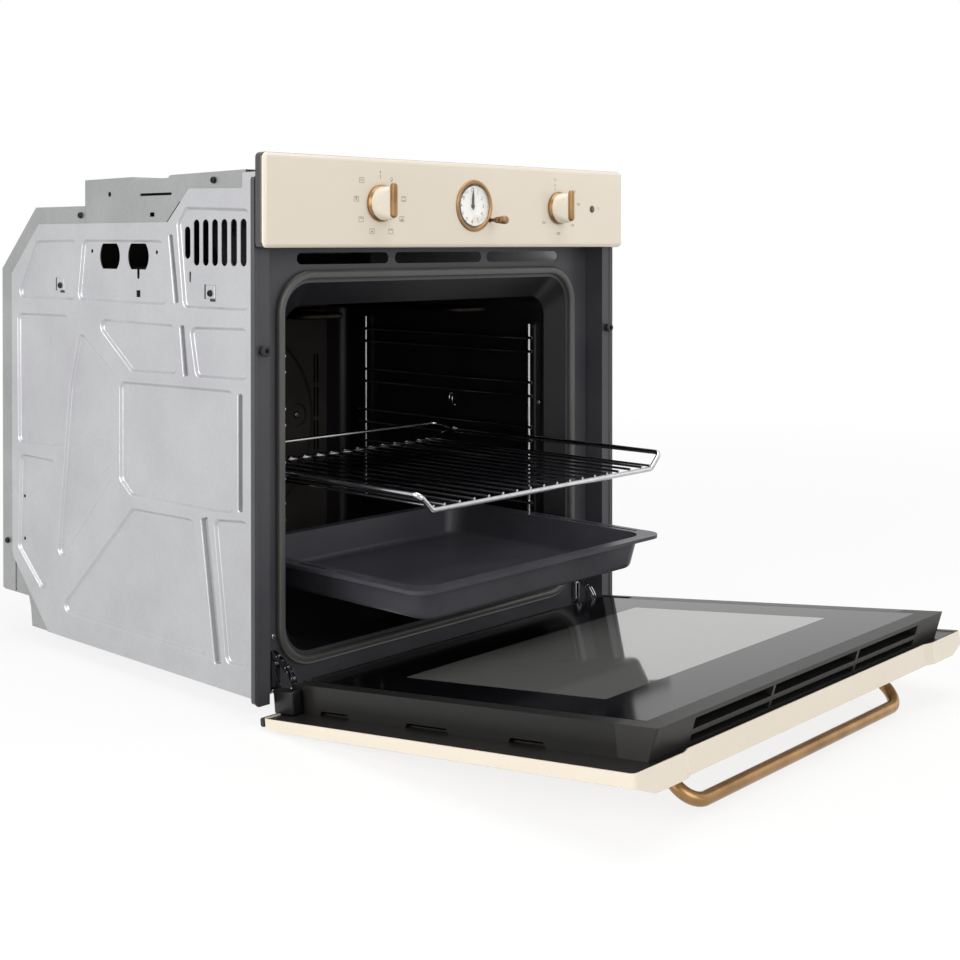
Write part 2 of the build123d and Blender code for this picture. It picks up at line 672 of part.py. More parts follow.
# Base panel with its raised rear step and side cheeks
base_flat = SIDE_REAR - 92.0
base_step = [(base_flat + 47, 0), (base_flat + 50, 24), (base_flat + 55, BASE_REAR_STEP)]
cheek_rear = SIDE_REAR - OVERLAP - GAP
with BuildPart() as base_panel:
    with BuildSketch(side(-cheek_x)):
        base_bends = [(frame_back, 18), (frame_back, 0), *base_step, (CASE_REAR - 2 * SHEET, BASE_REAR_STEP)]
        add(bent_strip(base_bends, SHEET))
    extrude(amount=2 * cheek_x)
    with BuildSketch(side(-cheek_x)):
        with BuildLine():
            Polyline(
                (base_flat, SHEET / 2),
                (base_step[0][0], SHEET / 2),
                *base_step[1:],
                (cheek_rear, BASE_REAR_STEP),
                (cheek_rear, side_foot[1]),
                (cheek_rear - 4, side_foot[1] - 4),
                close=True,
            )
        make_face()
    extrude(amount=SHEET)
    mirror(about=Plane.YZ)
    # low side flanges stand against the side panels, and the front flange clears the hinges
    with BuildSketch(Plane.XY):
        cheek_mid = cheek_x + SHEET / 2
        with Locations(*[(x, (frame_back + base_flat) / 2) for x in (-cheek_mid, cheek_mid)]):
            Rectangle(SHEET, base_flat - frame_back)
    extrude(amount=4.5)
    with BuildSketch(front(frame_back)):
        with Locations((-ARM_X, 10), (ARM_X, 10)):
            Rectangle(22, 16)
    extrude(amount=-SHEET, mode=Mode.SUBTRACT)
    with BuildSketch(Plane.XY):
        with Locations((0, base_flat - 190)):
            with GridLocations(240, 120, 2, 3):
                SlotOverall(60, 6)
    extrude(amount=SHEET, mode=Mode.SUBTRACT)
finish(base_panel.part, "base_panel")

# Terminal box behind the rear cover's cable inlet
box_width = 62.0
box_height = 74.0
box_depth = 34.0
with BuildPart() as terminal_box:
    with BuildSketch(front(CASE_REAR - SHEET)):
        with Locations((INLET_X, INLET_Z + 10)):
            RectangleRounded(box_width, box_height, 5)
    extrude(amount=box_depth)
    fillet(terminal_box.faces().sort_by(Axis.Y)[0].edges(), radius=3)
    with BuildSketch(front(CASE_REAR - SHEET)):
        with Locations((INLET_X, INLET_Z)):
            Circle(INLET_RADIUS)
    extrude(amount=box_depth - 8, mode=Mode.SUBTRACT)
finish(terminal_box.part, "terminal_box")

# Fascia: a shallow enamelled pressing with rounded edges
fascia_mid = FASCIA_LOW + FASCIA_HEIGHT / 2
fascia_skin = FASCIA_FRONT + FASCIA_SHEET
stem_hole = KNOB_STEM / 2 + 1
setting_shaft = 2.0
clock_hole = CLOCK_DIAL / 2 + 1.5
lamp_radius = 2.4


def fascia_block(inset):
    """Block of the fascia, drawn in by a sheet thickness."""
    with BuildPart() as block:
        with BuildSketch(front(FASCIA_BACK)):
            with Locations((0, fascia_mid)):
                RectangleRounded(
                    2 * (FASCIA_HALF - inset), FASCIA_HEIGHT - 2 * inset, FASCIA_RADIUS - inset
                )
        extrude(amount=FASCIA_BACK - FASCIA_FRONT - inset)
        fillet(block.faces().sort_by(Axis.Y)[0].edges(), radius=FASCIA_RADIUS - inset - 0.5)
    return block.part


with BuildPart() as control_fascia:
    add(fascia_block(0))
    add(fascia_block(FASCIA_SHEET), mode=Mode.SUBTRACT)
    with BuildSketch(front(FASCIA_BACK)):
        with Locations((SELECTOR_X, CONTROL_Z), (THERMOSTAT_X, CONTROL_Z)):
            Circle(stem_hole)
        with Locations((CLOCK_X, CONTROL_Z)):
            Circle(clock_hole)
        with Locations((SETTING_X, SETTING_Z)):
            Circle(setting_shaft + 1)
        with Locations((LAMP_X, CONTROL_Z)):
            Circle(lamp_radius + PLAY)
    extrude(amount=FASCIA_BACK - FASCIA_FRONT + 1, mode=Mode.SUBTRACT)
finish(control_fascia.part, "control_fascia")

# Backing: the moulded carrier that closes the fascia and holds the controls
backing_plate = 2.5
backing_back = FASCIA_BACK + backing_plate
clock_case_radius = 30.0
neck_radius = 6.5
with BuildPart() as fascia_backing:
    with BuildSketch(front(backing_back)):
        with Locations((0, fascia_mid)):
            RectangleRounded(2 * FASCIA_HALF - 5, FASCIA_HEIGHT - 5, FASCIA_RADIUS - 2)
    extrude(amount=backing_plate)
    # walls and bosses that reach the fascia's skin
    with BuildSketch(front(FASCIA_BACK)):
        for x in (SELECTOR_X, THERMOSTAT_X):
            with Locations((x, CONTROL_Z)):
                Circle(neck_radius + 4)
                Circle(neck_radius, mode=Mode.SUBTRACT)
        with Locations((CLOCK_X, CONTROL_Z)):
            Circle(clock_case_radius + 3)
            Circle(clock_case_radius + GAP, mode=Mode.SUBTRACT)
    extrude(amount=FASCIA_BACK - fascia_skin)
    with BuildSketch(front(backing_back)):
        with Locations((-column_half - 7, fascia_mid - 10), (column_half + 7, fascia_mid - 10)):
            Rectangle(11, FASCIA_HEIGHT - 40)
    extrude(amount=backing_back)
    with BuildSketch(front(backing_back)):
        with Locations((SELECTOR_X, CONTROL_Z), (THERMOSTAT_X, CONTROL_Z)):
            Circle(neck_radius)
        with Locations((CLOCK_X, CONTROL_Z)):
            Circle(clock_case_radius + GAP)
        with Locations((SETTING_X, SETTING_Z)):
            Circle(8 + GAP)
        with Locations((LAMP_X, CONTROL_Z)):
            Circle(5 + GAP)
    extrude(amount=backing_back - FASCIA_FRONT, mode=Mode.SUBTRACT)
finish(fascia_backing.part, "fascia_backing")


def switch_body(name, x, width, height, depth):
    """Rotary control behind the backing, with a bored neck that takes the knob's stem."""
    with BuildPart() as switch:
        with BuildSketch(front(backing_back)):
            with Locations((x, CONTROL_Z)):
                RectangleRounded(width, height, 4)
        extrude(amount=-depth)
        chamfer(switch.faces().sort_by(Axis.Y)[-1].edges(), length=2)
        with BuildSketch(front(backing_back)):
            with Locations((x, CONTROL_Z)):
                Circle(neck_radius - GAP)
        extrude(amount=backing_back - fascia_skin - GAP)
        with BuildSketch(front(backing_back + depth)):
            with Locations((x, CONTROL_Z)):
                with GridLocations(12, 10, 3, 3):
                    Rectangle(6.3, 0.8)
        extrude(amount=-8)
        with BuildSketch(front(fascia_skin)):
            with Locations((x, CONTROL_Z)):
                Circle(KNOB_STEM / 2 + PLAY)
        extrude(amount=fascia_skin - backing_back - depth / 2, mode=Mode.SUBTRACT)
    finish(switch.part, name)


switch_depth = 30.0
switch_body("selector_switch", SELECTOR_X, 44, 40, switch_depth)
switch_body("thermostat", THERMOSTAT_X, 40, 36, switch_depth - 4)


# Knobs: a bronze ring, a domed body with its stem, and a pointer bar let into the dome
knob_gap = 0.4
ring_depth = 5.5
knob_front = 19.5
pointer_width = 9.5
pointer_front = 24.0
pointer_low = -16.5
pointer_high = 22.5


def knob(prefix, x):
    """Ring, body and pointer of one rotary knob on the fascia."""
    back = FASCIA_FRONT - knob_gap
    body_radius = KNOB_BODY / 2
    ring_radius_out = KNOB_RING / 2
    axis = Axis((x, 0, CONTROL_Z), (0, 1, 0))
    with BuildPart() as ring:
        with BuildSketch(Plane.XY.offset(CONTROL_Z)):
            with BuildLine():
                Polyline(
                    (x + body_radius, back),
                    (x + ring_radius_out, back),
                    (x + ring_radius_out, back - ring_depth * 0.45),
                    (x + ring_radius_out - 1.6, back - ring_depth),
                    (x + body_radius, back - ring_depth),
                    close=True,
                )
            make_face()
        revolve(axis=axis)
    finish(ring.part, f"{prefix}_ring")

    with BuildPart() as pointer:
        with BuildSketch(side(x - pointer_width / 2)):
            with BuildLine():
                low = (back - ring_depth - 1.5, CONTROL_Z + pointer_low)
                high = (back - ring_depth - 1.5, CONTROL_Z + pointer_high)
                Line(low, high)
                Line(high, (back - knob_front + 2, CONTROL_Z + pointer_high))
                ThreePointArc(
                    (back - knob_front + 2, CONTROL_Z + pointer_high),
                    (back - pointer_front, CONTROL_Z + 3),
                    (back - knob_front + 5, CONTROL_Z + pointer_low),
                )
                Line((back - knob_front + 5, CONTROL_Z + pointer_low), low)
            make_face()
        extrude(amount=pointer_width)
        fillet(pointer.edges().filter_by(Axis.X), radius=1.5)
    pointer_part = pointer.part

    with BuildPart() as body:
        with BuildSketch(Plane.XY.offset(CONTROL_Z)):
            with BuildLine():
                Line((x, back), (x + body_radius, back))
                Line((x + body_radius, back), (x + body_radius, back - ring_depth - 3))
                ThreePointArc(
                    (x + body_radius, back - ring_depth - 3),
                    (x + body_radius - 4.2, back - knob_front + 4.2),
                    (x, back - knob_front),
                )
                Line((x, back - knob_front), (x, back))
            make_face()
        revolve(axis=axis)
        with BuildSketch(front(back)):
            with Locations((x, CONTROL_Z)):
                Circle(KNOB_STEM / 2)
        extrude(amount=back - backing_back - switch_depth / 2 + 4)
        add(pointer_part, mode=Mode.SUBTRACT)
    finish(body.part, f"{prefix}_knob")
    finish(pointer_part, f"{prefix}_pointer")


knob("selector", SELECTOR_X)
knob("thermostat", THERMOSTAT_X)

# Clock: case with the dial in its front, bezel and glass before the fascia
clock_axis = Axis((CLOCK_X, 0, CONTROL_Z), (0, 1, 0))
dial_thick = 1.2
dial_front = fascia_skin + 2
case_depth = 38.0
hour_tube = 1.6
minute_shaft = 0.8
with BuildPart() as clock_case:
    with BuildSketch(front(fascia_skin)):
        with Locations((CLOCK_X, CONTROL_Z)):
            Circle(clock_case_radius)
        with Locations((SETTING_X, SETTING_Z)):
            Circle(8)
    extrude(amount=-case_depth)
    chamfer(clock_case.faces().sort_by(Axis.Y)[-1].edges(), length=2)
    with BuildSketch(front(fascia_skin)):
        with Locations((CLOCK_X, CONTROL_Z)):
            Circle(CLOCK_DIAL / 2 + 1)
    extrude(amount=-(dial_front + dial_thick - fascia_skin), mode=Mode.SUBTRACT)
    with BuildSketch(front(fascia_skin)):
        with Locations((SETTING_X, SETTING_Z)):
            Circle(setting_shaft + PLAY)
        with Locations((CLOCK_X, CONTROL_Z)):
            Circle(hour_tube + PLAY)
    extrude(amount=-case_depth / 2, mode=Mode.SUBTRACT)
finish(clock_case.part, "clock_case")

with BuildPart() as clock_dial:
    with BuildSketch(front(dial_front)):
        with Locations((CLOCK_X, CONTROL_Z)):
            Circle(CLOCK_DIAL / 2 + 1)
            Circle(hour_tube + PLAY, mode=Mode.SUBTRACT)
    extrude(amount=-dial_thick)
finish(clock_dial.part, "clock_dial")

bezel_radius = CLOCK_BEZEL / 2
bezel_front = FASCIA_FRONT - 6.2
glass_radius = CLOCK_DIAL / 2
glass_front = bezel_front + 1.4
with BuildPart() as clock_bezel:
    with BuildSketch(Plane.XY.offset(CONTROL_Z)):
        with BuildLine():
            Polyline(
                (CLOCK_X + glass_radius - 1, bezel_front + 0.6),
                (CLOCK_X + glass_radius + 0.4, bezel_front),
                (CLOCK_X + bezel_radius - 2.4, bezel_front),
                (CLOCK_X + bezel_radius, bezel_front + 2.4),
                (CLOCK_X + bezel_radius, FASCIA_FRONT),
                (CLOCK_X + clock_hole - GAP, FASCIA_FRONT),
                (CLOCK_X + clock_hole - GAP, fascia_skin - GAP),
                (CLOCK_X + glass_radius, fascia_skin - GAP),
                (CLOCK_X + glass_radius, glass_front),
                (CLOCK_X + glass_radius - 1, glass_front),
                close=True,
            )
        make_face()
    revolve(axis=clock_axis)
    with BuildSketch(front(FASCIA_FRONT)):
        with Locations((SETTING_X, SETTING_Z)):
            Circle(6.4)
        with Locations((CLOCK_X, CONTROL_Z)):
            Circle(bezel_radius - 1, mode=Mode.SUBTRACT)
    extrude(amount=3.8)
    with BuildSketch(front(FASCIA_FRONT)):
        with Locations((SETTING_X, SETTING_Z)):
            Circle(setting_shaft + PLAY)
    extrude(amount=8, mode=Mode.SUBTRACT)
finish(clock_bezel.part, "clock_bezel")

with BuildPart() as clock_glass:
    with BuildSketch(front(glass_front)):
        with Locations((CLOCK_X, CONTROL_Z)):
            Circle(glass_radius)
    extrude(amount=-1.4)
finish(clock_glass.part, "clock_glass")


def clock_hand(name, front_y, thickness, length, width, hub, arbor, bore):
    """Tapered hand pointing up, with a round hub and an arbor that runs back into the case."""
    with BuildPart() as hand:
        with BuildSketch(front(front_y)):
            with BuildLine():
                Polyline(
                    (CLOCK_X - width, CONTROL_Z - length * 0.22),
                    (CLOCK_X + width, CONTROL_Z - length * 0.22),
                    (CLOCK_X + width * 1.5, CONTROL_Z + length * 0.5),
                    (CLOCK_X, CONTROL_Z + length),
                    (CLOCK_X - width * 1.5, CONTROL_Z + length * 0.5),
                    close=True,
                )
            make_face()
            with Locations((CLOCK_X, CONTROL_Z)):
                Circle(hub)
        extrude(amount=-thickness)
        with BuildSketch(front(front_y + thickness)):
            with Locations((CLOCK_X, CONTROL_Z)):
                Circle(arbor)
        extrude(amount=-(dial_front + dial_thick + 6 - front_y - thickness))
        if bore:
            with BuildSketch(front(front_y)):
                with Locations((CLOCK_X, CONTROL_Z)):
                    Circle(bore)
            extrude(amount=-30, mode=Mode.SUBTRACT)
    finish(hand.part, name)


clock_hand("hour_hand", dial_front - 1.2, 0.5, 15.5, 0.9, 2.6, hour_tube, minute_shaft + PLAY)
clock_hand("minute_hand", dial_front - 2.4, 0.5, 21.0, 0.7, 2.0, minute_shaft, None)

# Clock setting knob: knurled head on a plain shaft
setting_radius = 5.25
setting_front = FASCIA_FRONT - 27
setting_back = FASCIA_FRONT - 9
with BuildPart() as clock_setting_knob:
    with BuildSketch(front(setting_front)):
        with Locations((SETTING_X, SETTING_Z)):
            Circle(setting_radius)
            with PolarLocations(setting_radius + 0.25, 18):
                Circle(0.6, mode=Mode.SUBTRACT)
    extrude(amount=-(setting_back - setting_front))
    with BuildSketch(front(setting_back)):
        with Locations((SETTING_X, SETTING_Z)):
            Circle(3.4)
    extrude(amount=-2.5)
    with BuildSketch(front(setting_front - 1)):
        with Locations((SETTING_X, SETTING_Z)):
            Circle(setting_radius - 1.2)
    extrude(amount=-1)
    with BuildSketch(front(setting_back)):
        with Locations((SETTING_X, SETTING_Z)):
            Circle(setting_shaft)
    extrude(amount=-(fascia_skin + case_depth / 2 - 2 - setting_back))
finish(clock_setting_knob.part, "clock_setting_knob")

# Indicator lamp
with BuildPart() as indicator_lamp:
    with BuildSketch(front(fascia_skin)):
        with Locations((LAMP_X, CONTROL_Z)):
            Circle(5)
    extrude(amount=-6)
    with BuildSketch(front(fascia_skin)):
        with Locations((LAMP_X, CONTROL_Z)):
            Circle(lamp_radius)
    extrude(amount=FASCIA_SHEET + 1.4)
    fillet(indicator_lamp.faces().sort_by(Axis.Y)[0].edges(), radius=1.2)
finish(indicator_lamp.part, "indicator_lamp")

# Fan cover over the rear wall: a folded plate with a sunk round field, air slots and screw cups
cover_plane = CAVITY_REAR - COVER_DEPTH
cover_low = CAVITY_FLOOR + COVER_MARGIN
cover_high = CAVITY_CEILING - COVER_MARGIN
cover_draft = 5.0
cover_flange = 2.0
notch = (LIGHT_X + 36.0, LIGHT_Z - 36.0)
cover_outline = [
    (-COVER_HALF, cover_low),
    (COVER_HALF, cover_low),
    (COVER_HALF, cover_high),
    (notch[0], cover_high),
    (notch[0], notch[1]),
    (-COVER_HALF, notch[1]),
]
cover_corner = 10.0
cover_taper = degrees(atan2(cover_draft, COVER_DEPTH))
cup_x = 116.0
cup_z = FAN_Z + 7.0
cup_radius = 17.0
cup_depth = 3.0
side_slot_x = COVER_HALF - 18.0
side_slot_rows = [FAN_Z + 48.5 * row for row in (-1.5, -0.5, 0.5, 1.5)]


def cover_sketch(y, grow):
    """Outline of the fan cover at one depth, grown by a margin."""
    with BuildSketch(front(y)) as sketch:
        polygon(cover_outline, cover_corner)
        offset(amount=grow, kind=Kind.ARC)
    return sketch.sketch


with BuildPart() as fan_baffle:
    extrude(cover_sketch(CAVITY_REAR, cover_draft), amount=COVER_DEPTH, taper=cover_taper)
    fillet(fan_baffle.faces().sort_by(Axis.Y)[0].edges(), radius=3)
    extrude(cover_sketch(CAVITY_REAR, cover_draft + cover_flange), amount=SHEET)
    with BuildSketch(front(CAVITY_REAR)):
        add(cover_sketch(CAVITY_REAR, cover_draft - SHEET))
    extrude(amount=COVER_DEPTH - SHEET, taper=cover_taper, mode=Mode.SUBTRACT)
    # round field and screw cups, pressed towards the fan
    dishes = (
        ([(0, FAN_Z)], COVER_ROUND, cover_plane, COVER_SINK),
        ([(-cup_x, cup_z), (cup_x, cup_z)], cup_radius, cover_plane + COVER_SINK, cup_depth),
    )
    for places, radius, plane_y, depth in dishes:
        for back, grow, mode in ((SHEET, SHEET / 2, Mode.ADD), (0, 0, Mode.SUBTRACT)):
            with BuildSketch(front(plane_y + back)):
                with Locations(*places):
                    Circle(radius + grow)
            extrude(amount=-depth, taper=30, mode=mode)
    # air inlet before the fan, air slots at both sides and the screws' holes
    with BuildSketch(front(cover_plane)):
        with Locations((0, FAN_Z)):
            Circle(7)
            with PolarLocations(28, 12):
                SlotOverall(26, 6)
            with PolarLocations(56, 24):
                SlotOverall(18, 6)
        with Locations((-cup_x, cup_z), (cup_x, cup_z)):
            Circle(5)
        for z in side_slot_rows:
            for x in (side_slot_x, side_slot_x - 6, -side_slot_x, 6 - side_slot_x):
                if x > 0 or z < notch[1] - 34:
                    with Locations((x, z)):
                        SlotOverall(43, 3.2, rotation=90)
    extrude(amount=-COVER_SINK - cup_depth - 2 * SHEET, mode=Mode.SUBTRACT)
finish(fan_baffle.part, "fan_baffle")

# Convection fan: blades turned up from a disc, on a shaft that runs into its motor
dish_back = CAVITY_REAR + FAN_DISH
motor_front = blanket_back + 6
fan_shaft = 4.0
fan_shaft_end = motor_front + 20
with BuildPart() as fan_impeller:
    with BuildSketch(front(dish_back - 4)):
        with Locations((0, FAN_Z)):
            Circle(FAN_RADIUS)
    extrude(amount=1)
    with BuildSketch(front(dish_back - 5)):
        with Locations((0, FAN_Z)):
            Circle(12)
            with PolarLocations(44, 12):
                Rectangle(38, 1.2, rotation=24)
    extrude(amount=14)
    with BuildSketch(front(dish_back - 4)):
        with Locations((0, FAN_Z)):
            Circle(fan_shaft)
    extrude(amount=dish_back - 4 - fan_shaft_end)
finish(fan_impeller.part, "fan_impeller")

with BuildPart() as fan_motor:
    with BuildSketch(front(motor_front)):
        with Locations((0, FAN_Z)):
            RectangleRounded(84, 66, 8)
    extrude(amount=-18)
    with BuildSketch(front(motor_front)):
        with Locations((0, FAN_Z)):
            Circle(48)
    extrude(amount=-2)
    with BuildSketch(front(motor_front + 18)):
        with Locations((0, FAN_Z)):
            Circle(24)
    extrude(amount=-20, taper=12)
    # legs and shaft tube that seat on the dish
    with BuildSketch(front(motor_front)):
        with Locations((0, FAN_Z)):
            Circle(9)
            with PolarLocations(44, 3, start_angle=90):
                Circle(3.8)
    extrude(amount=motor_front - dish_back - SHEET)
    with BuildSketch(front(dish_back)):
        with Locations((0, FAN_Z)):
            Circle(fan_shaft + PLAY)
    extrude(amount=dish_back - fan_shaft_end - 2, mode=Mode.SUBTRACT)
finish(fan_motor.part, "fan_motor")

# Heating elements: a ring round the fan, a grill under the ceiling and one below the floor
ring_y = dish_back - 6
terminal_end = motor_front + 8
ring_start = Vector(ring_terminal[0], 0, ring_terminal[1] - FAN_Z)
with BuildPart() as ring_element:
    with BuildSketch(Plane((0, 0, FAN_Z), x_dir=ring_start, z_dir=ring_start.cross(Vector(0, 1, 0)))):
        with Locations((ring_radius, ring_y)):
            Circle(ELEMENT_ROD / 2)
    revolve(
        axis=Axis((0, 0, FAN_Z), (0, -1, 0)),
        revolution_arc=360 - 2 * degrees(atan2(ring_terminal[0], FAN_Z - ring_terminal[1])),
    )
    with BuildSketch(front(ring_y - 1.5)):
        with Locations((-ring_terminal[0], ring_terminal[1]), ring_terminal):
            Circle(ELEMENT_ROD / 2 - 0.25)
    extrude(amount=ring_y - 1.5 - terminal_end)
finish(ring_element.part, "ring_element")


def folded_element(name, z, outer, inner, front_y, rear_y, terminal_y):
    """Element bent to and fro in one level plane, with both terminals at the rear."""
    half = [
        (terminal_x, terminal_y),
        (terminal_x, rear_y),
        (outer, rear_y),
        (outer, front_y),
        (inner, front_y),
        (inner, rear_y - element_return),
    ]
    right = [(x, y, z) for x, y in half]
    left = [(-x, y, z) for x, y in reversed(half)]
    finish(bent_rod(right + left, element_bend, ELEMENT_ROD), name)


element_return = 60.0
element_bend = 20.0
grill_half = CAVITY_HALF - 62.0
base_half = CAVITY_HALF - 72.0
loop_width = 64.0
element_rear = CAVITY_REAR - 45.0
folded_element(
    "grill_element", grill_z, grill_half, grill_half - loop_width, 90.0, element_rear, terminal_end
)
folded_element(
    "base_element", lower_element_z, base_half, base_half - loop_width, 110.0, element_rear, blanket_back + 3
)

# Oven light on the rear wall
light_flange = 28.0
light_front = CAVITY_REAR - 1.5
with BuildPart() as lamp_holder:
    with BuildSketch(front(light_front)):
        with Locations((LIGHT_X, LIGHT_Z)):
            Circle(light_flange)
    extrude(amount=light_front - CAVITY_REAR)
    with BuildSketch(front(light_front)):
        with Locations((LIGHT_X, LIGHT_Z)):
            Circle(light_hole - GAP)
    extrude(amount=light_front - blanket_back - 8)
    with BuildSketch(front(light_front)):
        with Locations((LIGHT_X, LIGHT_Z)):
            Circle(light_hole - 4)
    extrude(amount=light_front - blanket_back, mode=Mode.SUBTRACT)
finish(lamp_holder.part, "lamp_holder")

lens_wall = 2.0
lens_flat = 3.0
lens_depth = 13.0
lens_rim = light_flange - 1.5
with BuildPart() as lamp_lens:
    with BuildSketch(Plane.XY.offset(LIGHT_Z)):
        lens_front = light_front - lens_depth
        with BuildLine(Plane((LIGHT_X, lens_front, 0))):
            Polyline((lens_flat, 0), (0, 0), (0, lens_wall), (lens_flat, lens_wall))
            ThreePointArc(
                (lens_flat, lens_wall),
                (lens_rim * 0.62, 3.5 + lens_wall),
                (lens_rim - lens_wall, lens_depth),
            )
            Line((lens_rim - lens_wall, lens_depth), (lens_rim, lens_depth))
            ThreePointArc((lens_rim, lens_depth), (lens_rim * 0.66, 3.5), (lens_flat, 0))
        make_face()
    revolve(axis=Axis((LIGHT_X, 0, LIGHT_Z), (0, 1, 0)))
finish(lamp_lens.part, "lamp_lens")

# Side racks: ladders of paired rungs welded to two posts, pegged to the cavity wall
rung_x = SHELF_HALF + SHELF_ROD / 2 + 0.1
post_x = rung_x + (RACK_WIRE + RACK_POST) / 2 - GAP
post_low = RACK_RUNGS[0] - 8
post_high = RACK_RUNGS[-1] + RACK_PAIR + 18
rung_heights = [z + lift for z in RACK_RUNGS for lift in (0, RACK_PAIR)]
rung_overhang = 10.0
with BuildPart() as side_rack:
    with BuildSketch(front(RACK_POSTS_Y[0] - rung_overhang)):
        with Locations(*[(rung_x, z) for z in rung_heights]):
            Circle(RACK_WIRE / 2)
    extrude(amount=RACK_POSTS_Y[0] - RACK_POSTS_Y[1] - 2 * rung_overhang)
    with BuildSketch(Plane.XY.offset(post_low)):
        with Locations(*[(post_x, y) for y in RACK_POSTS_Y]):
            Circle(RACK_POST / 2)
    extrude(amount=post_high - post_low)
    with BuildSketch(side(post_x)):
        with Locations(*[(y, z) for y in RACK_POSTS_Y for z in (post_low + 4, post_high - 4)]):
            Circle(RACK_WIRE / 2)
    extrude(amount=CAVITY_HALF - post_x)
finish(side_rack.part, "side_rack_right")
finish(side_rack.part.mirror(Plane.YZ), "side_rack_left")

# Wire shelf: a rod frame with dropped front and rear bars, welded wires and a rear guard
rail_break = (SHELF_FRONT + SHELF_REAR) / 2
shelf_front_frame = bent_rod(
    [
        (-SHELF_HALF, rail_break, SHELF_RAIL_Z),
        (-SHELF_HALF, SHELF_FRONT, SHELF_RAIL_Z),
        (-SHELF_BAR_HALF, SHELF_FRONT, SHELF_BAR_Z),
        (SHELF_BAR_HALF, SHELF_FRONT, SHELF_BAR_Z),
        (SHELF_HALF, SHELF_FRONT, SHELF_RAIL_Z),
        (SHELF_HALF, rail_break, SHELF_RAIL_Z),
    ],
    [7, 8, 8, 7],
    SHELF_ROD,
)
shelf_drop = 34.0
shelf_rear_half = SHELF_HALF - 11
shelf_rear_frame = bent_rod(
    [
        (SHELF_HALF, rail_break, SHELF_RAIL_Z),
        (SHELF_HALF, SHELF_REAR - shelf_drop, SHELF_RAIL_Z),
        (shelf_rear_half, SHELF_REAR, SHELF_BAR_Z),
        (-shelf_rear_half, SHELF_REAR, SHELF_BAR_Z),
        (-SHELF_HALF, SHELF_REAR - shelf_drop, SHELF_RAIL_Z),
        (-SHELF_HALF, rail_break, SHELF_RAIL_Z),
    ],
    [14, 12, 12, 14],
    SHELF_ROD,
)
guard_y = SHELF_REAR - 5
guard_rise = 6.0
guard_half = SHELF_HALF - SHELF_ROD + 0.7
shelf_guard = bent_rod(
    [
        (-guard_half, guard_y - 36, SHELF_RAIL_Z + 1),
        (-guard_half, guard_y, SHELF_RAIL_Z + guard_rise),
        (guard_half, guard_y, SHELF_RAIL_Z + guard_rise),
        (guard_half, guard_y - 36, SHELF_RAIL_Z + 1),
    ],
    10,
    SHELF_ROD - 1,
)
wire_z = SHELF_BAR_Z + (SHELF_ROD + SHELF_WIRE) / 2 - 0.5
wire_places = [(i - (SHELF_WIRES - 1) / 2) * SHELF_PITCH for i in range(SHELF_WIRES)]
edge_wire = SHELF_BAR_HALF - 2
with BuildPart() as wire_shelf:
    add([shelf_front_frame, shelf_rear_frame, shelf_guard])
    with BuildSketch(front(SHELF_FRONT)):
        with Locations(*[(x, wire_z) for x in [-edge_wire, *wire_places, edge_wire]]):
            Circle(SHELF_WIRE / 2)
    extrude(amount=SHELF_FRONT - SHELF_REAR)
finish(wire_shelf.part, "wire_shelf")

# Baking tray: a pressed pan with a broad rim, a turned-down edge and slots in the side rims
tray_mid = TRAY_FRONT + TRAY_LENGTH / 2
tray_rim_front = 15.0
tray_slope_front = 6.5
basin_corner = 26.0
tray_edge = 4.0
rim_slot = 48.0
rim_slot_x = TRAY_HALF - 10.0
rim_slot_places = [TRAY_FRONT + 58.7 + 62.0 * i for i in range(3)]


def tray_basin(grow):
    """Solid of the pan below the rim, grown by a sheet thickness."""
    half_w = TRAY_HALF - TRAY_RIM + grow
    half_l = TRAY_LENGTH / 2 - tray_rim_front + grow
    with BuildPart() as basin:
        with BuildSketch(Plane.XY.offset(TRAY_TOP)):
            with Locations((0, tray_mid)):
                RectangleRounded(2 * half_w, 2 * half_l, basin_corner + grow)
        with BuildSketch(Plane.XY.offset(TRAY_TOP - TRAY_DEPTH + TRAY_SHEET - grow)):
            with Locations((0, tray_mid)):
                RectangleRounded(
                    2 * (half_w - TRAY_SLOPE), 2 * (half_l - tray_slope_front), basin_corner - 6 + grow
                )
        loft()
        fillet(basin.faces().sort_by(Axis.Z)[0].edges(), radius=7 + grow)
    return basin.part


with BuildPart() as baking_tray:
    with BuildSketch(Plane.XY.offset(TRAY_TOP)):
        with Locations((0, tray_mid)):
            RectangleRounded(2 * TRAY_HALF, TRAY_LENGTH, TRAY_CORNER)
    extrude(amount=-tray_edge)
    with BuildSketch(Plane.XY.offset(TRAY_TOP - TRAY_SHEET)):
        with Locations((0, tray_mid)):
            RectangleRounded(
                2 * (TRAY_HALF - TRAY_SHEET), TRAY_LENGTH - 2 * TRAY_SHEET, TRAY_CORNER - TRAY_SHEET
            )
    extrude(amount=-tray_edge, mode=Mode.SUBTRACT)
    add(tray_basin(TRAY_SHEET))
    add(tray_basin(0), mode=Mode.SUBTRACT)
    with BuildSketch(Plane.XY.offset(TRAY_TOP)):
        with Locations(*[(x, y) for x in (-rim_slot_x, rim_slot_x) for y in rim_slot_places]):
            SlotOverall(rim_slot, 4.5, rotation=90)
    extrude(amount=-2 * TRAY_SHEET, mode=Mode.SUBTRACT)
finish(baking_tray.part, "baking_tray")

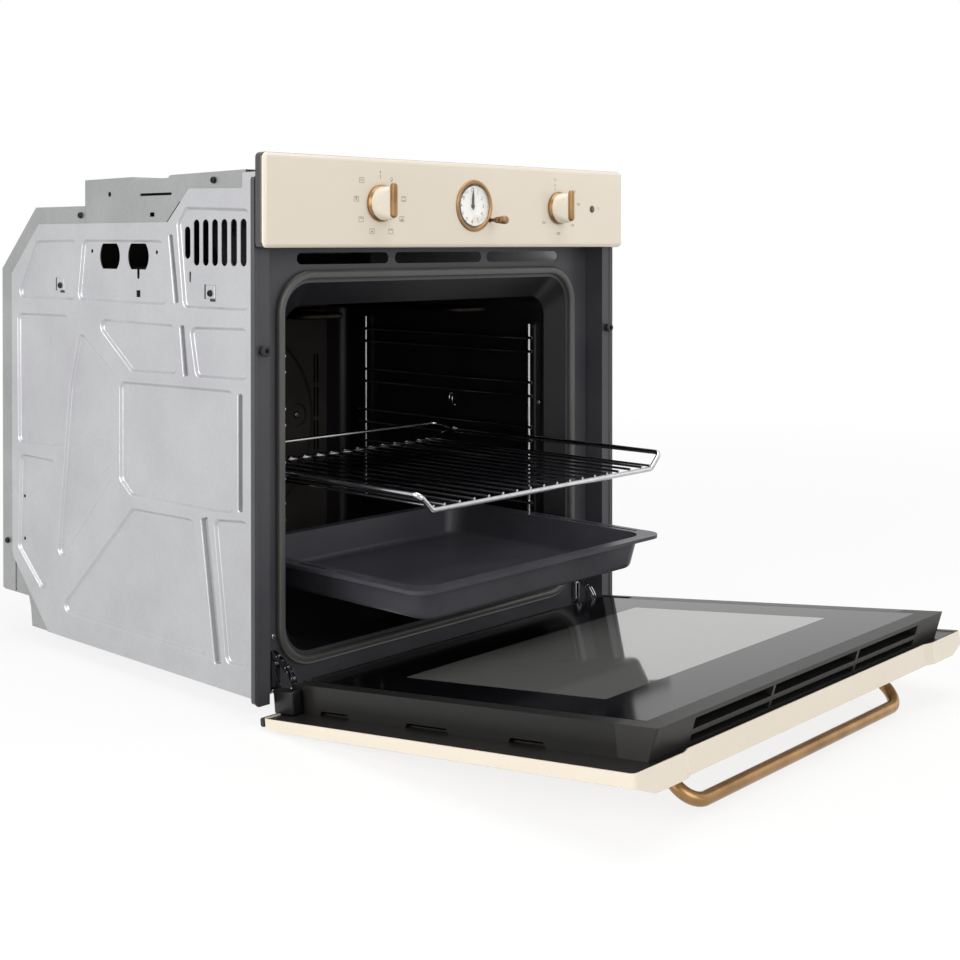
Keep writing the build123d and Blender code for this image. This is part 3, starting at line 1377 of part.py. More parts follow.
# Cooling blower: a cross-flow wheel in a scroll, which blows through a flat duct to the front vents
wheel_z = BLOWER_LOW + BLOWER_RISE
duct_rear = BLOWER_Y - 45.0
duct_front_half = MOUTH_HALF - 11.0
duct_low = BLOWER_LOW
duct_high = duct_low + 26.0
duct_inner = duct_high - duct_low - 2 * SHEET
end_plate = BLOWER_HALF + 5.0
tongue_y = BLOWER_Y - 35.0
scroll_rear = (BLOWER_Y + 44.0, wheel_z - 4.0)
scroll_end = (BLOWER_Y + 4.0, wheel_z + 38.0)
with BuildPart() as blower_housing:
    with BuildSketch(side(-end_plate)):
        with BuildLine() as scroll:
            Line((duct_rear, duct_low), (BLOWER_Y, duct_low))
            ThreePointArc((BLOWER_Y, duct_low), scroll_rear, scroll_end)
            offset(amount=SHEET, side=Side.LEFT)
        make_face()
        with BuildLine():
            Polyline(
                (duct_rear, duct_high),
                (duct_rear, duct_high - SHEET),
                (tongue_y + 2 * SHEET, duct_high - SHEET),
                (tongue_y + SHEET, wheel_z - 6),
                (tongue_y, wheel_z - 6),
                (tongue_y, duct_high),
                close=True,
            )
        make_face()
    extrude(amount=2 * end_plate)
    with BuildSketch(side(-end_plate), side(end_plate + SHEET)):
        with BuildLine():
            Line((duct_rear, duct_high), (duct_rear, duct_low))
            Line((duct_rear, duct_low), (BLOWER_Y, duct_low))
            ThreePointArc((BLOWER_Y, duct_low), scroll_rear, scroll_end)
            Line(scroll_end, (tongue_y, wheel_z + 10))
            Line((tongue_y, wheel_z + 10), (tongue_y, duct_high))
            Line((tongue_y, duct_high), (duct_rear, duct_high))
        make_face()
    extrude(amount=-SHEET)
    with BuildSketch(side(-2 * end_plate)):
        with Locations((BLOWER_Y, wheel_z)):
            Circle(BLOWER_SHAFT + PLAY)
    extrude(amount=4 * end_plate, mode=Mode.SUBTRACT)
    # duct that widens towards the vents
    for grow, mode in ((SHEET, Mode.ADD), (0, Mode.SUBTRACT)):
        for y, half in ((duct_rear, end_plate), (frame_back, duct_front_half)):
            with BuildSketch(front(y)):
                with Locations((0, (duct_low + duct_high) / 2)):
                    Rectangle(2 * (half + grow), duct_inner + 2 * grow)
        loft(mode=mode)
finish(blower_housing.part, "blower_housing")

wheel_disc = 1.2
shaft_ends = (-end_plate - 3.0, end_plate + 22.0)
with BuildPart() as blower_wheel:
    with BuildSketch(side(-BLOWER_HALF)):
        with Locations((BLOWER_Y, wheel_z)):
            with PolarLocations(BLOWER_RADIUS - 4, BLOWER_BLADES):
                Rectangle(7.5, 0.9, rotation=28)
    extrude(amount=2 * BLOWER_HALF)
    for x in (-BLOWER_HALF, -wheel_disc / 2, BLOWER_HALF - wheel_disc):
        with BuildSketch(side(x)):
            with Locations((BLOWER_Y, wheel_z)):
                Circle(BLOWER_RADIUS)
        extrude(amount=wheel_disc)
    with BuildSketch(side(shaft_ends[0])):
        with Locations((BLOWER_Y, wheel_z)):
            Circle(BLOWER_SHAFT)
    extrude(amount=shaft_ends[1] - shaft_ends[0])
finish(blower_wheel.part, "blower_wheel")

motor_x = end_plate + SHEET
with BuildPart() as blower_motor:
    with BuildSketch(side(motor_x)):
        with Locations((BLOWER_Y, wheel_z)):
            Circle(24)
    extrude(amount=30)
    chamfer(blower_motor.faces().sort_by(Axis.X)[-1].edges(), length=3)
    with BuildSketch(side(motor_x + 6)):
        with Locations((BLOWER_Y - 4, wheel_z)):
            RectangleRounded(72, 50, 4)
    extrude(amount=16)
    with BuildSketch(side(motor_x)):
        with Locations((BLOWER_Y, wheel_z)):
            Circle(BLOWER_SHAFT + PLAY)
    extrude(amount=shaft_ends[1] - end_plate + SHEET, mode=Mode.SUBTRACT)
finish(blower_motor.part, "blower_motor")

# Door: every piece is drawn on the door's own planes, which lean by the open door's tilt
tilt = radians(DOOR_TILT)
door_up = Vector(0, -cos(tilt), sin(tilt))
door_in = Vector(0, sin(tilt), cos(tilt))
door_origin = Vector(0, HINGE_Y, HINGE_Z) + door_up * PIN_BELOW + door_in * PIN_DEPTH
door_plane = Plane(door_origin, x_dir=(1, 0, 0), z_dir=-door_in)
outward = Axis(door_origin, -door_in)


def door_face(w):
    """Plane across the door at depth w: x across, L up; a positive extrusion runs outwards."""
    return door_plane.offset(w)


def door_section(x):
    """Plane along the door at x: L across, w up; a positive extrusion runs to the right."""
    return Plane(door_origin + Vector(x, 0, 0), x_dir=door_up, z_dir=(1, 0, 0))


def door_plan(level):
    """Plane square to the door at height L: x across, w up; a negative extrusion runs up the door."""
    return Plane(door_origin + door_up * level, x_dir=(1, 0, 0), z_dir=-door_up)


def door_point(x, level, w):
    """Point of the door in the oven's coordinates."""
    return door_plane.from_local_coords(Vector(x, level, w))


hinge_gap = 10.5
boss_high = 3.2
boss_foot = 1.8
panel_corner = 6.0
notch_slope = 11.0


def panel_block(inset):
    """Block of the outer panel, drawn in by a sheet thickness on every side but its open back."""
    half = PANEL_HALF - inset
    top = PANEL_HEIGHT - inset
    field = PANEL_FIELD - inset
    slope = (PANEL_FIELD - PANEL_RIM) / PANEL_BEVEL_SIDE
    with BuildPart() as block:
        with BuildSketch(door_section(-half)):
            with BuildLine():
                Polyline(
                    (inset, 0),
                    (top, 0),
                    (top, field),
                    (PANEL_BEVEL_LOW, field),
                    (inset, PANEL_FOOT - inset),
                    close=True,
                )
            make_face()
        extrude(amount=2 * half)
        for hand in (-1, 1):
            with BuildSketch(door_plan(0)):
                with BuildLine():
                    Polyline(
                        (hand * (PANEL_HALF - PANEL_BEVEL_SIDE), field),
                        (hand * (PANEL_HALF + 5), field - slope * (PANEL_BEVEL_SIDE + 5)),
                        (hand * (PANEL_HALF + 5), field + 5),
                        (hand * (PANEL_HALF - PANEL_BEVEL_SIDE), field + 5),
                        close=True,
                    )
                make_face()
            extrude(amount=-PANEL_HEIGHT, mode=Mode.SUBTRACT)
        fillet(block.edges().filter_by(outward), radius=panel_corner - inset)
        with BuildSketch(door_face(-1)):
            with BuildLine():
                Polyline(
                    (-PANEL_NOTCH_HALF, PANEL_HEIGHT + 1),
                    (-PANEL_NOTCH_HALF, top),
                    (notch_slope - PANEL_NOTCH_HALF, top - PANEL_NOTCH),
                    (PANEL_NOTCH_HALF - notch_slope, top - PANEL_NOTCH),
                    (PANEL_NOTCH_HALF, top),
                    (PANEL_NOTCH_HALF, PANEL_HEIGHT + 1),
                    close=True,
                )
            make_face()
        extrude(amount=PANEL_FIELD + 2, mode=Mode.SUBTRACT)
    return block.part


window_mid = DOOR_WINDOW_LOW + DOOR_WINDOW_HEIGHT / 2
with BuildPart() as door_outer_panel:
    add(panel_block(0))
    add(panel_block(DOOR_SHEET), mode=Mode.SUBTRACT)
    with BuildSketch(door_face(0)):
        with Locations((0, window_mid)):
            RectangleRounded(2 * DOOR_WINDOW_HALF, DOOR_WINDOW_HEIGHT, DOOR_WINDOW_CORNER)
    extrude(amount=PANEL_FIELD + 1, mode=Mode.SUBTRACT)
    with BuildSketch(door_face(-1)):
        with Locations((-ARM_X, 0), (ARM_X, 0)):
            Rectangle(2 * hinge_gap, 2 * boss_high + 1.6)
    extrude(amount=PANEL_RIM, mode=Mode.SUBTRACT)
finish(door_outer_panel.part, "door_outer_panel")

outer_glass_back = PANEL_FIELD - DOOR_SHEET - GLASS
glass_lap = 18.0
with BuildPart() as outer_glass:
    with BuildSketch(door_face(outer_glass_back)):
        with Locations((0, window_mid)):
            RectangleRounded(
                2 * (DOOR_WINDOW_HALF + glass_lap), DOOR_WINDOW_HEIGHT + 2 * glass_lap, DOOR_WINDOW_CORNER
            )
    extrude(amount=GLASS)
finish(outer_glass.part, "outer_glass")

# Backing: closes the outer panel, and its turned window edge presses the outer glass home
backing_w = 1.5
backing_low = DOOR_SHEET + GAP
backing_high = PANEL_HEIGHT - PANEL_NOTCH - DOOR_SHEET - GAP
window_edge = 6.0
window_frame_half = DOOR_WINDOW_HALF - window_edge
window_frame_height = DOOR_WINDOW_HEIGHT - 2 * window_edge
with BuildPart() as door_backing:
    with BuildSketch(door_face(backing_w)):
        with Locations((0, (backing_low + backing_high) / 2)):
            RectangleRounded(2 * (PANEL_HALF - DOOR_SHEET - GAP), backing_high - backing_low, 4)
    extrude(amount=DOOR_SHEET)
    with BuildSketch(door_face(backing_w)):
        with Locations((0, window_mid)):
            RectangleRounded(2 * window_frame_half, window_frame_height, 8)
    extrude(amount=outer_glass_back - backing_w)
    with BuildSketch(door_face(backing_w)):
        with Locations((0, window_mid)):
            RectangleRounded(2 * (window_frame_half - DOOR_SHEET), window_frame_height - 2 * DOOR_SHEET, 7)
    extrude(amount=outer_glass_back, mode=Mode.SUBTRACT)
    with BuildSketch(door_face(backing_w)):
        with Locations((-ARM_X, 0), (ARM_X, 0)):
            Rectangle(2 * hinge_gap, 2 * boss_high + 3)
    extrude(amount=PANEL_FIELD, mode=Mode.SUBTRACT)
finish(door_backing.part, "door_backing")

# Bottom trim, with a bored boss on each side of either hinge arm
arm_space = ARM_THICK / 2 + 2.5
trim_drop = 5.0
trim_edge = 1.5
with BuildPart() as door_bottom_trim:
    with BuildSketch(door_section(-PANEL_HALF + 1)):
        with BuildLine():
            Polyline(
                (0, 0),
                (0, PANEL_FOOT),
                (trim_edge - trim_drop, PANEL_FOOT),
                (-trim_drop, PANEL_FOOT - trim_edge),
                (-trim_drop, trim_edge),
                (trim_edge - trim_drop, 0),
                close=True,
            )
        make_face()
    extrude(amount=2 * PANEL_HALF - 2)
    for hand in (-1, 1):
        with BuildSketch(door_section(hand * ARM_X - hinge_gap + GAP)):
            with BuildLine():
                Polyline(
                    (-1, boss_foot),
                    (boss_high, boss_foot),
                    (boss_high, PANEL_FOOT - 0.5),
                    (-1, PANEL_FOOT),
                    close=True,
                )
            make_face()
        extrude(amount=2 * (hinge_gap - GAP))
        with BuildSketch(door_section(hand * ARM_X - hinge_gap)):
            with Locations((-PIN_BELOW, PIN_DEPTH)):
                Circle(HINGE_PIN / 2 + PLAY)
        extrude(amount=2 * hinge_gap, mode=Mode.SUBTRACT)
        with BuildSketch(door_plan(-2 * trim_drop)):
            with Locations((hand * ARM_X, 0)):
                Rectangle(2 * arm_space, 60)
        extrude(amount=-60, mode=Mode.SUBTRACT)
finish(door_bottom_trim.part, "door_bottom_trim")

# Inner side frames: folded channels that carry the inner and middle glasses
glass_back = -INNER_DEPTH + GLASS
middle_glass_w = -9.0
frame_low = 5.0
seat_inner = INNER_GLASS_HALF - 8
ledge_x = (INNER_GLASS_HALF - 18, INNER_HALF - 0.5)
ledge_low = 62.0
foot_cuts = [(PANEL_HEIGHT * share, run) for share, run in ((0.144, 46), (0.421, 60), (0.688, 46))]
with BuildPart() as side_frame:
    with BuildSketch(door_plan(frame_low)):
        add(
            bent_strip(
                [
                    (seat_inner, glass_back),
                    (INNER_GLASS_HALF + 1, glass_back),
                    (INNER_GLASS_HALF + 1, -INNER_DEPTH),
                    (INNER_HALF, -INNER_DEPTH),
                    (INNER_HALF, backing_w),
                    (INNER_GLASS_HALF - 4, backing_w),
                ],
                DOOR_SHEET,
            )
        )
    extrude(amount=frame_low - TRIM_LOW)
    with BuildSketch(door_plan(ledge_low)):
        with Locations((sum(ledge_x) / 2, middle_glass_w + DOOR_SHEET / 2)):
            Rectangle(ledge_x[1] - ledge_x[0], DOOR_SHEET)
    extrude(amount=ledge_low - TRIM_LOW)
    # slot that the hinge arm swings through, and the cut-outs along the foot of the wall
    with BuildSketch(door_face(-INNER_DEPTH - 1)):
        with Locations((ARM_X, frame_low + 25)):
            Rectangle(2 * arm_space, 56)
    extrude(amount=INNER_DEPTH + 5, mode=Mode.SUBTRACT)
    with BuildSketch(door_section(INNER_HALF - 5)):
        for level, run in foot_cuts:
            with Locations((level, backing_w - 2)):
                Trapezoid(run, 5, 60, rotation=180)
    extrude(amount=10, mode=Mode.SUBTRACT)
finish(side_frame.part, "door_side_frame_right")
finish(side_frame.part.mirror(Plane.YZ), "door_side_frame_left")

rail_lap = 24.0
with BuildPart() as door_lower_rail:
    with BuildSketch(door_section(-seat_inner + 0.5)):
        add(
            bent_strip(
                [
                    (rail_lap, backing_w),
                    (frame_low, backing_w),
                    (frame_low, -INNER_DEPTH),
                    (INNER_GLASS_LOW - 1.4, -INNER_DEPTH),
                    (INNER_GLASS_LOW - 1.4, glass_back),
                    (INNER_GLASS_LOW + 8, glass_back),
                ],
                DOOR_SHEET,
            )
        )
    extrude(amount=2 * seat_inner - 1)
    with BuildSketch(door_plan(0)):
        with Locations((0, -11)):
            with GridLocations(42, 1, 9, 1):
                SlotOverall(30, 7)
    extrude(amount=-frame_low - 4, mode=Mode.SUBTRACT)
finish(door_lower_rail.part, "door_lower_rail")

with BuildPart() as inner_glass:
    with BuildSketch(door_face(glass_back)):
        with Locations((0, (INNER_GLASS_LOW + INNER_GLASS_HIGH) / 2)):
            RectangleRounded(2 * INNER_GLASS_HALF, INNER_GLASS_HIGH - INNER_GLASS_LOW, 2)
    extrude(amount=-GLASS)
finish(inner_glass.part, "inner_glass")

middle_glass_ends = (ledge_low + 4, TRIM_LOW - 2)
with BuildPart() as middle_glass:
    with BuildSketch(door_face(middle_glass_w)):
        with Locations((0, sum(middle_glass_ends) / 2)):
            RectangleRounded(2 * INNER_GLASS_HALF, middle_glass_ends[1] - middle_glass_ends[0], 2)
    extrude(amount=-GLASS)
finish(middle_glass.part, "middle_glass")

# Top trim: a leaning moulding with two rows of air slots between ribs, and solid end blocks
slot_end = INNER_HALF - 56.0
rib_x = 78.0
rib_half = 2.0
lip_low = INNER_GLASS_HIGH + GAP
trim_foot = TRIM_LOW + 6
slot_rows = ((-18.0, 10.0), (-4.75, 6.5))
leaning = Axis((0, 0, 0), door_up * TRIM_LEAN + door_in * (INNER_DEPTH + backing_w))
with BuildPart() as door_top_trim:
    with BuildSketch(door_section(-INNER_HALF)):
        with BuildLine():
            Polyline(
                (lip_low, -INNER_DEPTH),
                (TRIM_HIGH, -INNER_DEPTH),
                (TRIM_HIGH - TRIM_LEAN, backing_w),
                (trim_foot, backing_w),
                (trim_foot, glass_back),
                (lip_low, glass_back),
                close=True,
            )
        make_face()
    extrude(amount=2 * INNER_HALF)
    block_width = INNER_HALF - INNER_GLASS_HALF - 1
    for x in (-INNER_HALF, INNER_HALF - block_width):
        with BuildSketch(door_section(x)):
            with BuildLine():
                Polyline(
                    (TRIM_LOW, -INNER_DEPTH),
                    (TRIM_HIGH, -INNER_DEPTH),
                    (TRIM_HIGH - TRIM_LEAN, backing_w),
                    (TRIM_LOW, backing_w),
                    close=True,
                )
            make_face()
        extrude(amount=block_width)
    ends = door_top_trim.faces().filter_by(Axis.X).sort_by(Axis.X)
    fillet((ends[0].edges() + ends[-1].edges()).filter_by(leaning), radius=2)
    rib_sides = (rib_x - rib_half, rib_x + rib_half)
    spans = [(-slot_end, -rib_sides[1]), (-rib_sides[0], rib_sides[0]), (rib_sides[1], slot_end)]
    for low_x, high_x in spans:
        with BuildSketch(door_plan(TRIM_LOW)):
            for middle, width in slot_rows:
                with Locations(((low_x + high_x) / 2, middle)):
                    Rectangle(high_x - low_x, width)
        extrude(amount=-60, mode=Mode.SUBTRACT)
finish(door_top_trim.part, "door_top_trim")

# Handle: one bent tube whose ends are cut to the face of the door
handle_corner = HANDLE_FOOT + HANDLE_REACH
handle_depth = PANEL_FIELD + HANDLE_REACH
handle_root = 12.0
with BuildPart() as door_handle:
    add(
        bent_rod(
            [
                door_point(-HANDLE_HALF, HANDLE_FOOT - handle_root, PANEL_FIELD - handle_root),
                door_point(-HANDLE_HALF, handle_corner, handle_depth),
                door_point(HANDLE_HALF, handle_corner, handle_depth),
                door_point(HANDLE_HALF, HANDLE_FOOT - handle_root, PANEL_FIELD - handle_root),
            ],
            HANDLE_BEND,
            HANDLE_TUBE,
        )
    )
    split(bisect_by=door_face(PANEL_FIELD), keep=Keep.TOP)
finish(door_handle.part, "door_handle")

# Hinge arms: curved bars fixed behind the frame, with the door's pivot pin at their free end
arm_knee = (30.0, 26.0)
arm_arc = ThreePointArc((HINGE_Y, HINGE_Z), (8, -4), arm_knee)
latch_pivot = arm_arc @ 0.74
latch_pin = 1.5
arm_tail = 40.0
arm_plate = (15.0, 62.0)
arm_plate_z = 34.0
with BuildPart() as hinge_arm:
    with BuildSketch(side(ARM_X - ARM_THICK / 2)):
        SlotArc(arm_arc, ARM_WIDTH)
        with Locations((arm_knee[0] + arm_tail / 2, arm_knee[1])):
            SlotCenterToCenter(arm_tail, ARM_WIDTH)
        with Locations((latch_pivot.X, latch_pivot.Y)):
            Circle(latch_pin + PLAY, mode=Mode.SUBTRACT)
    extrude(amount=ARM_THICK)
    with BuildSketch(front(frame_back)):
        with Locations((ARM_X, arm_plate_z)):
            RectangleRounded(*arm_plate, 3)
    extrude(amount=-2)
    with BuildSketch(side(ARM_X - hinge_gap + 1)):
        with Locations((HINGE_Y, HINGE_Z)):
            Circle(HINGE_PIN / 2)
    extrude(amount=2 * hinge_gap - 2)
finish(hinge_arm.part, "hinge_arm_right")
finish(hinge_arm.part.mirror(Plane.YZ), "hinge_arm_left")

# Hinge latches: clips that straddle the arms and swing over to lock the hinges
cheek_inner = ARM_THICK / 2 + 0.5
cheek_outer = cheek_inner + 1.0
latch_tip = (latch_pivot.X, latch_pivot.Y + LATCH_LENGTH)
with BuildPart() as hinge_latch:
    for x in (ARM_X - cheek_outer, ARM_X + cheek_inner):
        with BuildSketch(side(x)):
            with BuildLine() as spine:
                Line((latch_pivot.X, latch_pivot.Y), latch_tip)
            SlotCenterPoint(spine.line @ 0.5, latch_tip, 6)
        extrude(amount=cheek_outer - cheek_inner)
    with BuildSketch(side(ARM_X - cheek_outer)):
        with Locations(latch_tip):
            RectangleRounded(5, 3, 1)
        with Locations((latch_pivot.X, latch_pivot.Y)):
            Circle(latch_pin)
    extrude(amount=2 * cheek_outer)
finish(hinge_latch.part, "hinge_latch_right")
finish(hinge_latch.part.mirror(Plane.YZ), "hinge_latch_left")
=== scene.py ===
# %% [markdown]
# # A built-in oven
# The oven comes from CAD as solid parts that already stand where they belong.
# This lesson gives each part the finish that it has on the real oven, adds the small pieces
# that CAD leaves out, such as screws, dial marks and symbols, and sets the camera and lights.

# %% Load the parts
import math

import bmesh
import bpy
from mathutils import Matrix, Vector


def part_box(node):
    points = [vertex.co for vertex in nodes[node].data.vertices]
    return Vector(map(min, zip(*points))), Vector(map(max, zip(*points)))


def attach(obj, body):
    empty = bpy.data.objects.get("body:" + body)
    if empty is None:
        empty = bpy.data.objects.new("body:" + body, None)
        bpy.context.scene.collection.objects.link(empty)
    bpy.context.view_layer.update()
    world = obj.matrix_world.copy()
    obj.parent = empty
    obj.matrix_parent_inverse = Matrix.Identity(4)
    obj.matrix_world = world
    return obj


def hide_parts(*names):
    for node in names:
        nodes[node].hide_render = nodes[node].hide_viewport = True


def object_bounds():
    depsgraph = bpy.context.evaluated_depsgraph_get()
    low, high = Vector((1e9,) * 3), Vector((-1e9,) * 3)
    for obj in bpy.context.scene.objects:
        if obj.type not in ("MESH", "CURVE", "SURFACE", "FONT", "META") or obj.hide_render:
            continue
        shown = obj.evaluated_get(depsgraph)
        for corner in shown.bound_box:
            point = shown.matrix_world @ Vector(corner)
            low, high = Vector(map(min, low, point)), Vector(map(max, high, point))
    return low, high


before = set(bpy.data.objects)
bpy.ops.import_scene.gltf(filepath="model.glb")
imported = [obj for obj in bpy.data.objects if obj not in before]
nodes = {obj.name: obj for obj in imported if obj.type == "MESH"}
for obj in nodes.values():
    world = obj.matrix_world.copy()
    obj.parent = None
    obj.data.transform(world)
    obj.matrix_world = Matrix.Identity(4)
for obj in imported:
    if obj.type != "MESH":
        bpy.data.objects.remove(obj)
solid_low, solid_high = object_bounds()
MM = 0.001
print(len(nodes), "parts, size in mm", [round(v / MM) for v in solid_high - solid_low])

# %% [markdown]
# ## Camera
# The photograph was taken from the left of the oven, a little below the top of the case,
# through a moderate lens held level. The frame was then cut with the oven low in the picture,
# and a shifted lens gives that crop without leaning the verticals.

# %% Camera
CAMERA_PLACE = Vector((-1.2447, -1.2277, 0.4833))
CAMERA_YAW = 0.8467
CAMERA_PITCH = 0.0072
FOCAL_PIXELS = 1470.1
PICTURE_PIXELS = 960
CENTRE_PIXEL = (535.6, 253.8)
SENSOR_MM = 36.0

camera_data = bpy.data.cameras.new("camera")
camera_data.sensor_width = SENSOR_MM
camera_data.lens = FOCAL_PIXELS / PICTURE_PIXELS * SENSOR_MM
camera_data.shift_x = 0.5 - CENTRE_PIXEL[0] / PICTURE_PIXELS
camera_data.shift_y = CENTRE_PIXEL[1] / PICTURE_PIXELS - 0.5
camera = bpy.data.objects.new("camera", camera_data)
camera.location = CAMERA_PLACE
camera.rotation_euler = (math.radians(90) - CAMERA_PITCH, 0, -CAMERA_YAW)
bpy.context.scene.collection.objects.link(camera)
bpy.context.scene.camera = camera
print("lens", round(camera_data.lens, 1), "mm")

# %% [markdown]
# ## Colours and nodes
# Colours are picked on a screen as sRGB hex values, while Blender mixes light in linear values,
# so one function turns one into the other. A second one adds a node, sets what it is given
# and links the sockets it is handed, so that a material reads from top to bottom.


# %% Colours and nodes
def linear(hex_colour):
    """sRGB hex value as linear red, green, blue and alpha."""
    shares = [int(hex_colour[i : i + 2], 16) / 255 for i in (1, 3, 5)]
    turned = [c / 12.92 if c <= 0.04045 else ((c + 0.055) / 1.055) ** 2.4 for c in shares]
    return (*turned, 1.0)


def add_node(tree, kind, inputs=None, **settings):
    """Adds a node, with its settings, and with each named input set or linked."""
    node = tree.nodes.new(kind)
    for name, value in settings.items():
        setattr(node, name, value)
    for name, value in (inputs or {}).items():
        if isinstance(value, bpy.types.NodeSocket):
            tree.links.new(value, node.inputs[name])
        else:
            node.inputs[name].default_value = value
    return node


def start_material(name, **sockets):
    """New material with sockets set on its shader: returns it, its tree, shader and coordinates."""
    material = bpy.data.materials.new(name)
    material.use_nodes = True
    tree = material.node_tree
    shader = tree.nodes["Principled BSDF"]
    for socket, value in sockets.items():
        shader.inputs[socket.replace("_", " ")].default_value = value
    place = add_node(tree, "ShaderNodeTexCoord").outputs["Object"]
    return material, tree, shader, place


def blend_colours(tree, share, dark, light):
    """Colour that runs from one hex value to another with a share from 0 to 1."""
    mixed = add_node(tree, "ShaderNodeMix", data_type="RGBA")
    tree.links.new(share, mixed.inputs["Factor"])
    mixed.inputs["A"].default_value = linear(dark)
    mixed.inputs["B"].default_value = linear(light)
    return mixed.outputs["Result"]


def spread(tree, value, low, high, to_low, to_high):
    """Value stretched from one range to another and held at its ends."""
    inputs = {"Value": value, "From Min": low, "From Max": high, "To Min": to_low, "To Max": to_high}
    return add_node(tree, "ShaderNodeMapRange", inputs).outputs["Result"]


def noise(tree, place, size_mm, detail=3.0, rough=0.5):
    """Cloudy pattern whose patches are about so many millimetres across."""
    inputs = {"Vector": place, "Scale": 1 / (size_mm * MM), "Detail": detail, "Roughness": rough}
    return add_node(tree, "ShaderNodeTexNoise", inputs).outputs["Fac"]


def bump(tree, shader, height, depth_mm, strength=1.0):
    """Small relief on the shader's normal, from a height of 0 to 1."""
    inputs = {"Height": height, "Distance": depth_mm * MM, "Strength": strength}
    relief = add_node(tree, "ShaderNodeBump", inputs)
    tree.links.new(relief.outputs["Normal"], shader.inputs["Normal"])


print("helpers ready")

# %% [markdown]
# ## Cream vitreous enamel
# The fascia and the door's skin are steel sprayed with ground glass and fired. That gives an
# even, glossy coat with a very slight ripple, which only shows in its reflections.


# %% Cream enamel
def cream_enamel(name):
    material, tree, shader, place = start_material(name, Coat_Weight=0.35, Coat_Roughness=0.06)
    cloud = noise(tree, place, 160.0)
    tree.links.new(blend_colours(tree, cloud, "#dacfbd", "#e2d8c8"), shader.inputs["Base Color"])
    ripple = noise(tree, place, 9.0, detail=1.0)
    tree.links.new(spread(tree, ripple, 0.3, 0.7, 0.2, 0.27), shader.inputs["Roughness"])
    bump(tree, shader, ripple, 0.05, 0.25)
    return material


def edged_enamel(name, edge_y, edge_colour):
    """The same enamel, with the folded rim behind a depth in mm painted dark."""
    material = cream_enamel(name)
    tree = material.node_tree
    shader = tree.nodes["Principled BSDF"]
    place = add_node(tree, "ShaderNodeTexCoord").outputs["Object"]
    depth = add_node(tree, "ShaderNodeSeparateXYZ", {"Vector": place}).outputs["Y"]
    behind = spread(tree, depth, (edge_y - 0.1) * MM, (edge_y + 0.1) * MM, 0.0, 1.0)
    mixed = add_node(tree, "ShaderNodeMix", data_type="RGBA")
    tree.links.new(behind, mixed.inputs["Factor"])
    tree.links.new(shader.inputs["Base Color"].links[0].from_socket, mixed.inputs["A"])
    mixed.inputs["B"].default_value = linear(edge_colour)
    tree.links.new(mixed.outputs["Result"], shader.inputs["Base Color"])
    return material


CREAM = cream_enamel("cream_vitreous_enamel")
FASCIA_CREAM = edged_enamel("cream_enamel_with_dark_rim", -14.6, "#2e2926")
print(CREAM.name, FASCIA_CREAM.name)

# %% [markdown]
# ## Dark ground-coat enamel
# The frame, the cavity and the tray are coated with a dark enamel that has run smooth in the
# furnace. It is satin on the frame and glossier in the cavity, with faint clouds, a few fine
# flecks and an orange-peel ripple about four millimetres across.


# %% Dark enamels
def dark_enamel(name, dark, light, rough, ripple_mm, mirror):
    material, tree, shader, place = start_material(name, Specular_IOR_Level=mirror)
    cloud = noise(tree, place, 75.0)
    flecks = noise(tree, place, 0.7, detail=2.0, rough=0.4)
    speck = spread(tree, flecks, 0.68, 0.74, 0.0, 0.35)
    both = add_node(tree, "ShaderNodeMath", {0: cloud, 1: speck}, operation="ADD").outputs[0]
    share = spread(tree, both, 0.3, 0.9, 0.0, 1.0)
    tree.links.new(blend_colours(tree, share, dark, light), shader.inputs["Base Color"])
    tree.links.new(spread(tree, cloud, 0.3, 0.7, rough, rough + 0.08), shader.inputs["Roughness"])
    bump(tree, shader, noise(tree, place, ripple_mm, detail=1.0), 0.05, 0.3)
    return material


FRAME_ENAMEL = dark_enamel("charcoal_frame_enamel", "#3a3a3f", "#464549", 0.4, 4.0, 0.4)
CAVITY_ENAMEL = dark_enamel("black_cavity_enamel", "#131215", "#1f1e21", 0.3, 5.0, 0.25)
TRAY_ENAMEL = dark_enamel("grey_tray_enamel", "#3f3e44", "#4b4a50", 0.28, 6.0, 0.2)
REAR_ENAMEL = dark_enamel("browned_rear_enamel", "#2b2826", "#383431", 0.34, 5.0, 0.25)
print(FRAME_ENAMEL.name, CAVITY_ENAMEL.name, TRAY_ENAMEL.name, REAR_ENAMEL.name)

# %% [markdown]
# ## Galvanised sheet
# The case is folded from zinc-coated steel of a fine-grained kind. Its crystals are hardly seen,
# but the rolling leaves soft cloudy bands, and handling leaves paler smears.


# %% Galvanised sheet
def galvanised_sheet(name, dark, light, metallic):
    material, tree, shader, place = start_material(name, Metallic=metallic)
    crystals = add_node(tree, "ShaderNodeTexVoronoi", {"Vector": place, "Scale": 1 / (2.5 * MM)})
    crystal_parts = add_node(tree, "ShaderNodeSeparateColor", {"Color": crystals.outputs["Color"]})
    cloud = noise(tree, place, 85.0, detail=4.0)
    share = add_node(tree, "ShaderNodeMix", {"Factor": 0.12})
    tree.links.new(cloud, share.inputs["A"])
    tree.links.new(crystal_parts.outputs["Red"], share.inputs["B"])
    tone = spread(tree, share.outputs["Result"], 0.25, 0.75, 0.0, 1.0)
    tree.links.new(blend_colours(tree, tone, dark, light), shader.inputs["Base Color"])
    tree.links.new(spread(tree, share.outputs["Result"], 0.2, 0.8, 0.4, 0.3), shader.inputs["Roughness"])
    bump(tree, shader, share.outputs["Result"], 0.01, 0.2)
    return material


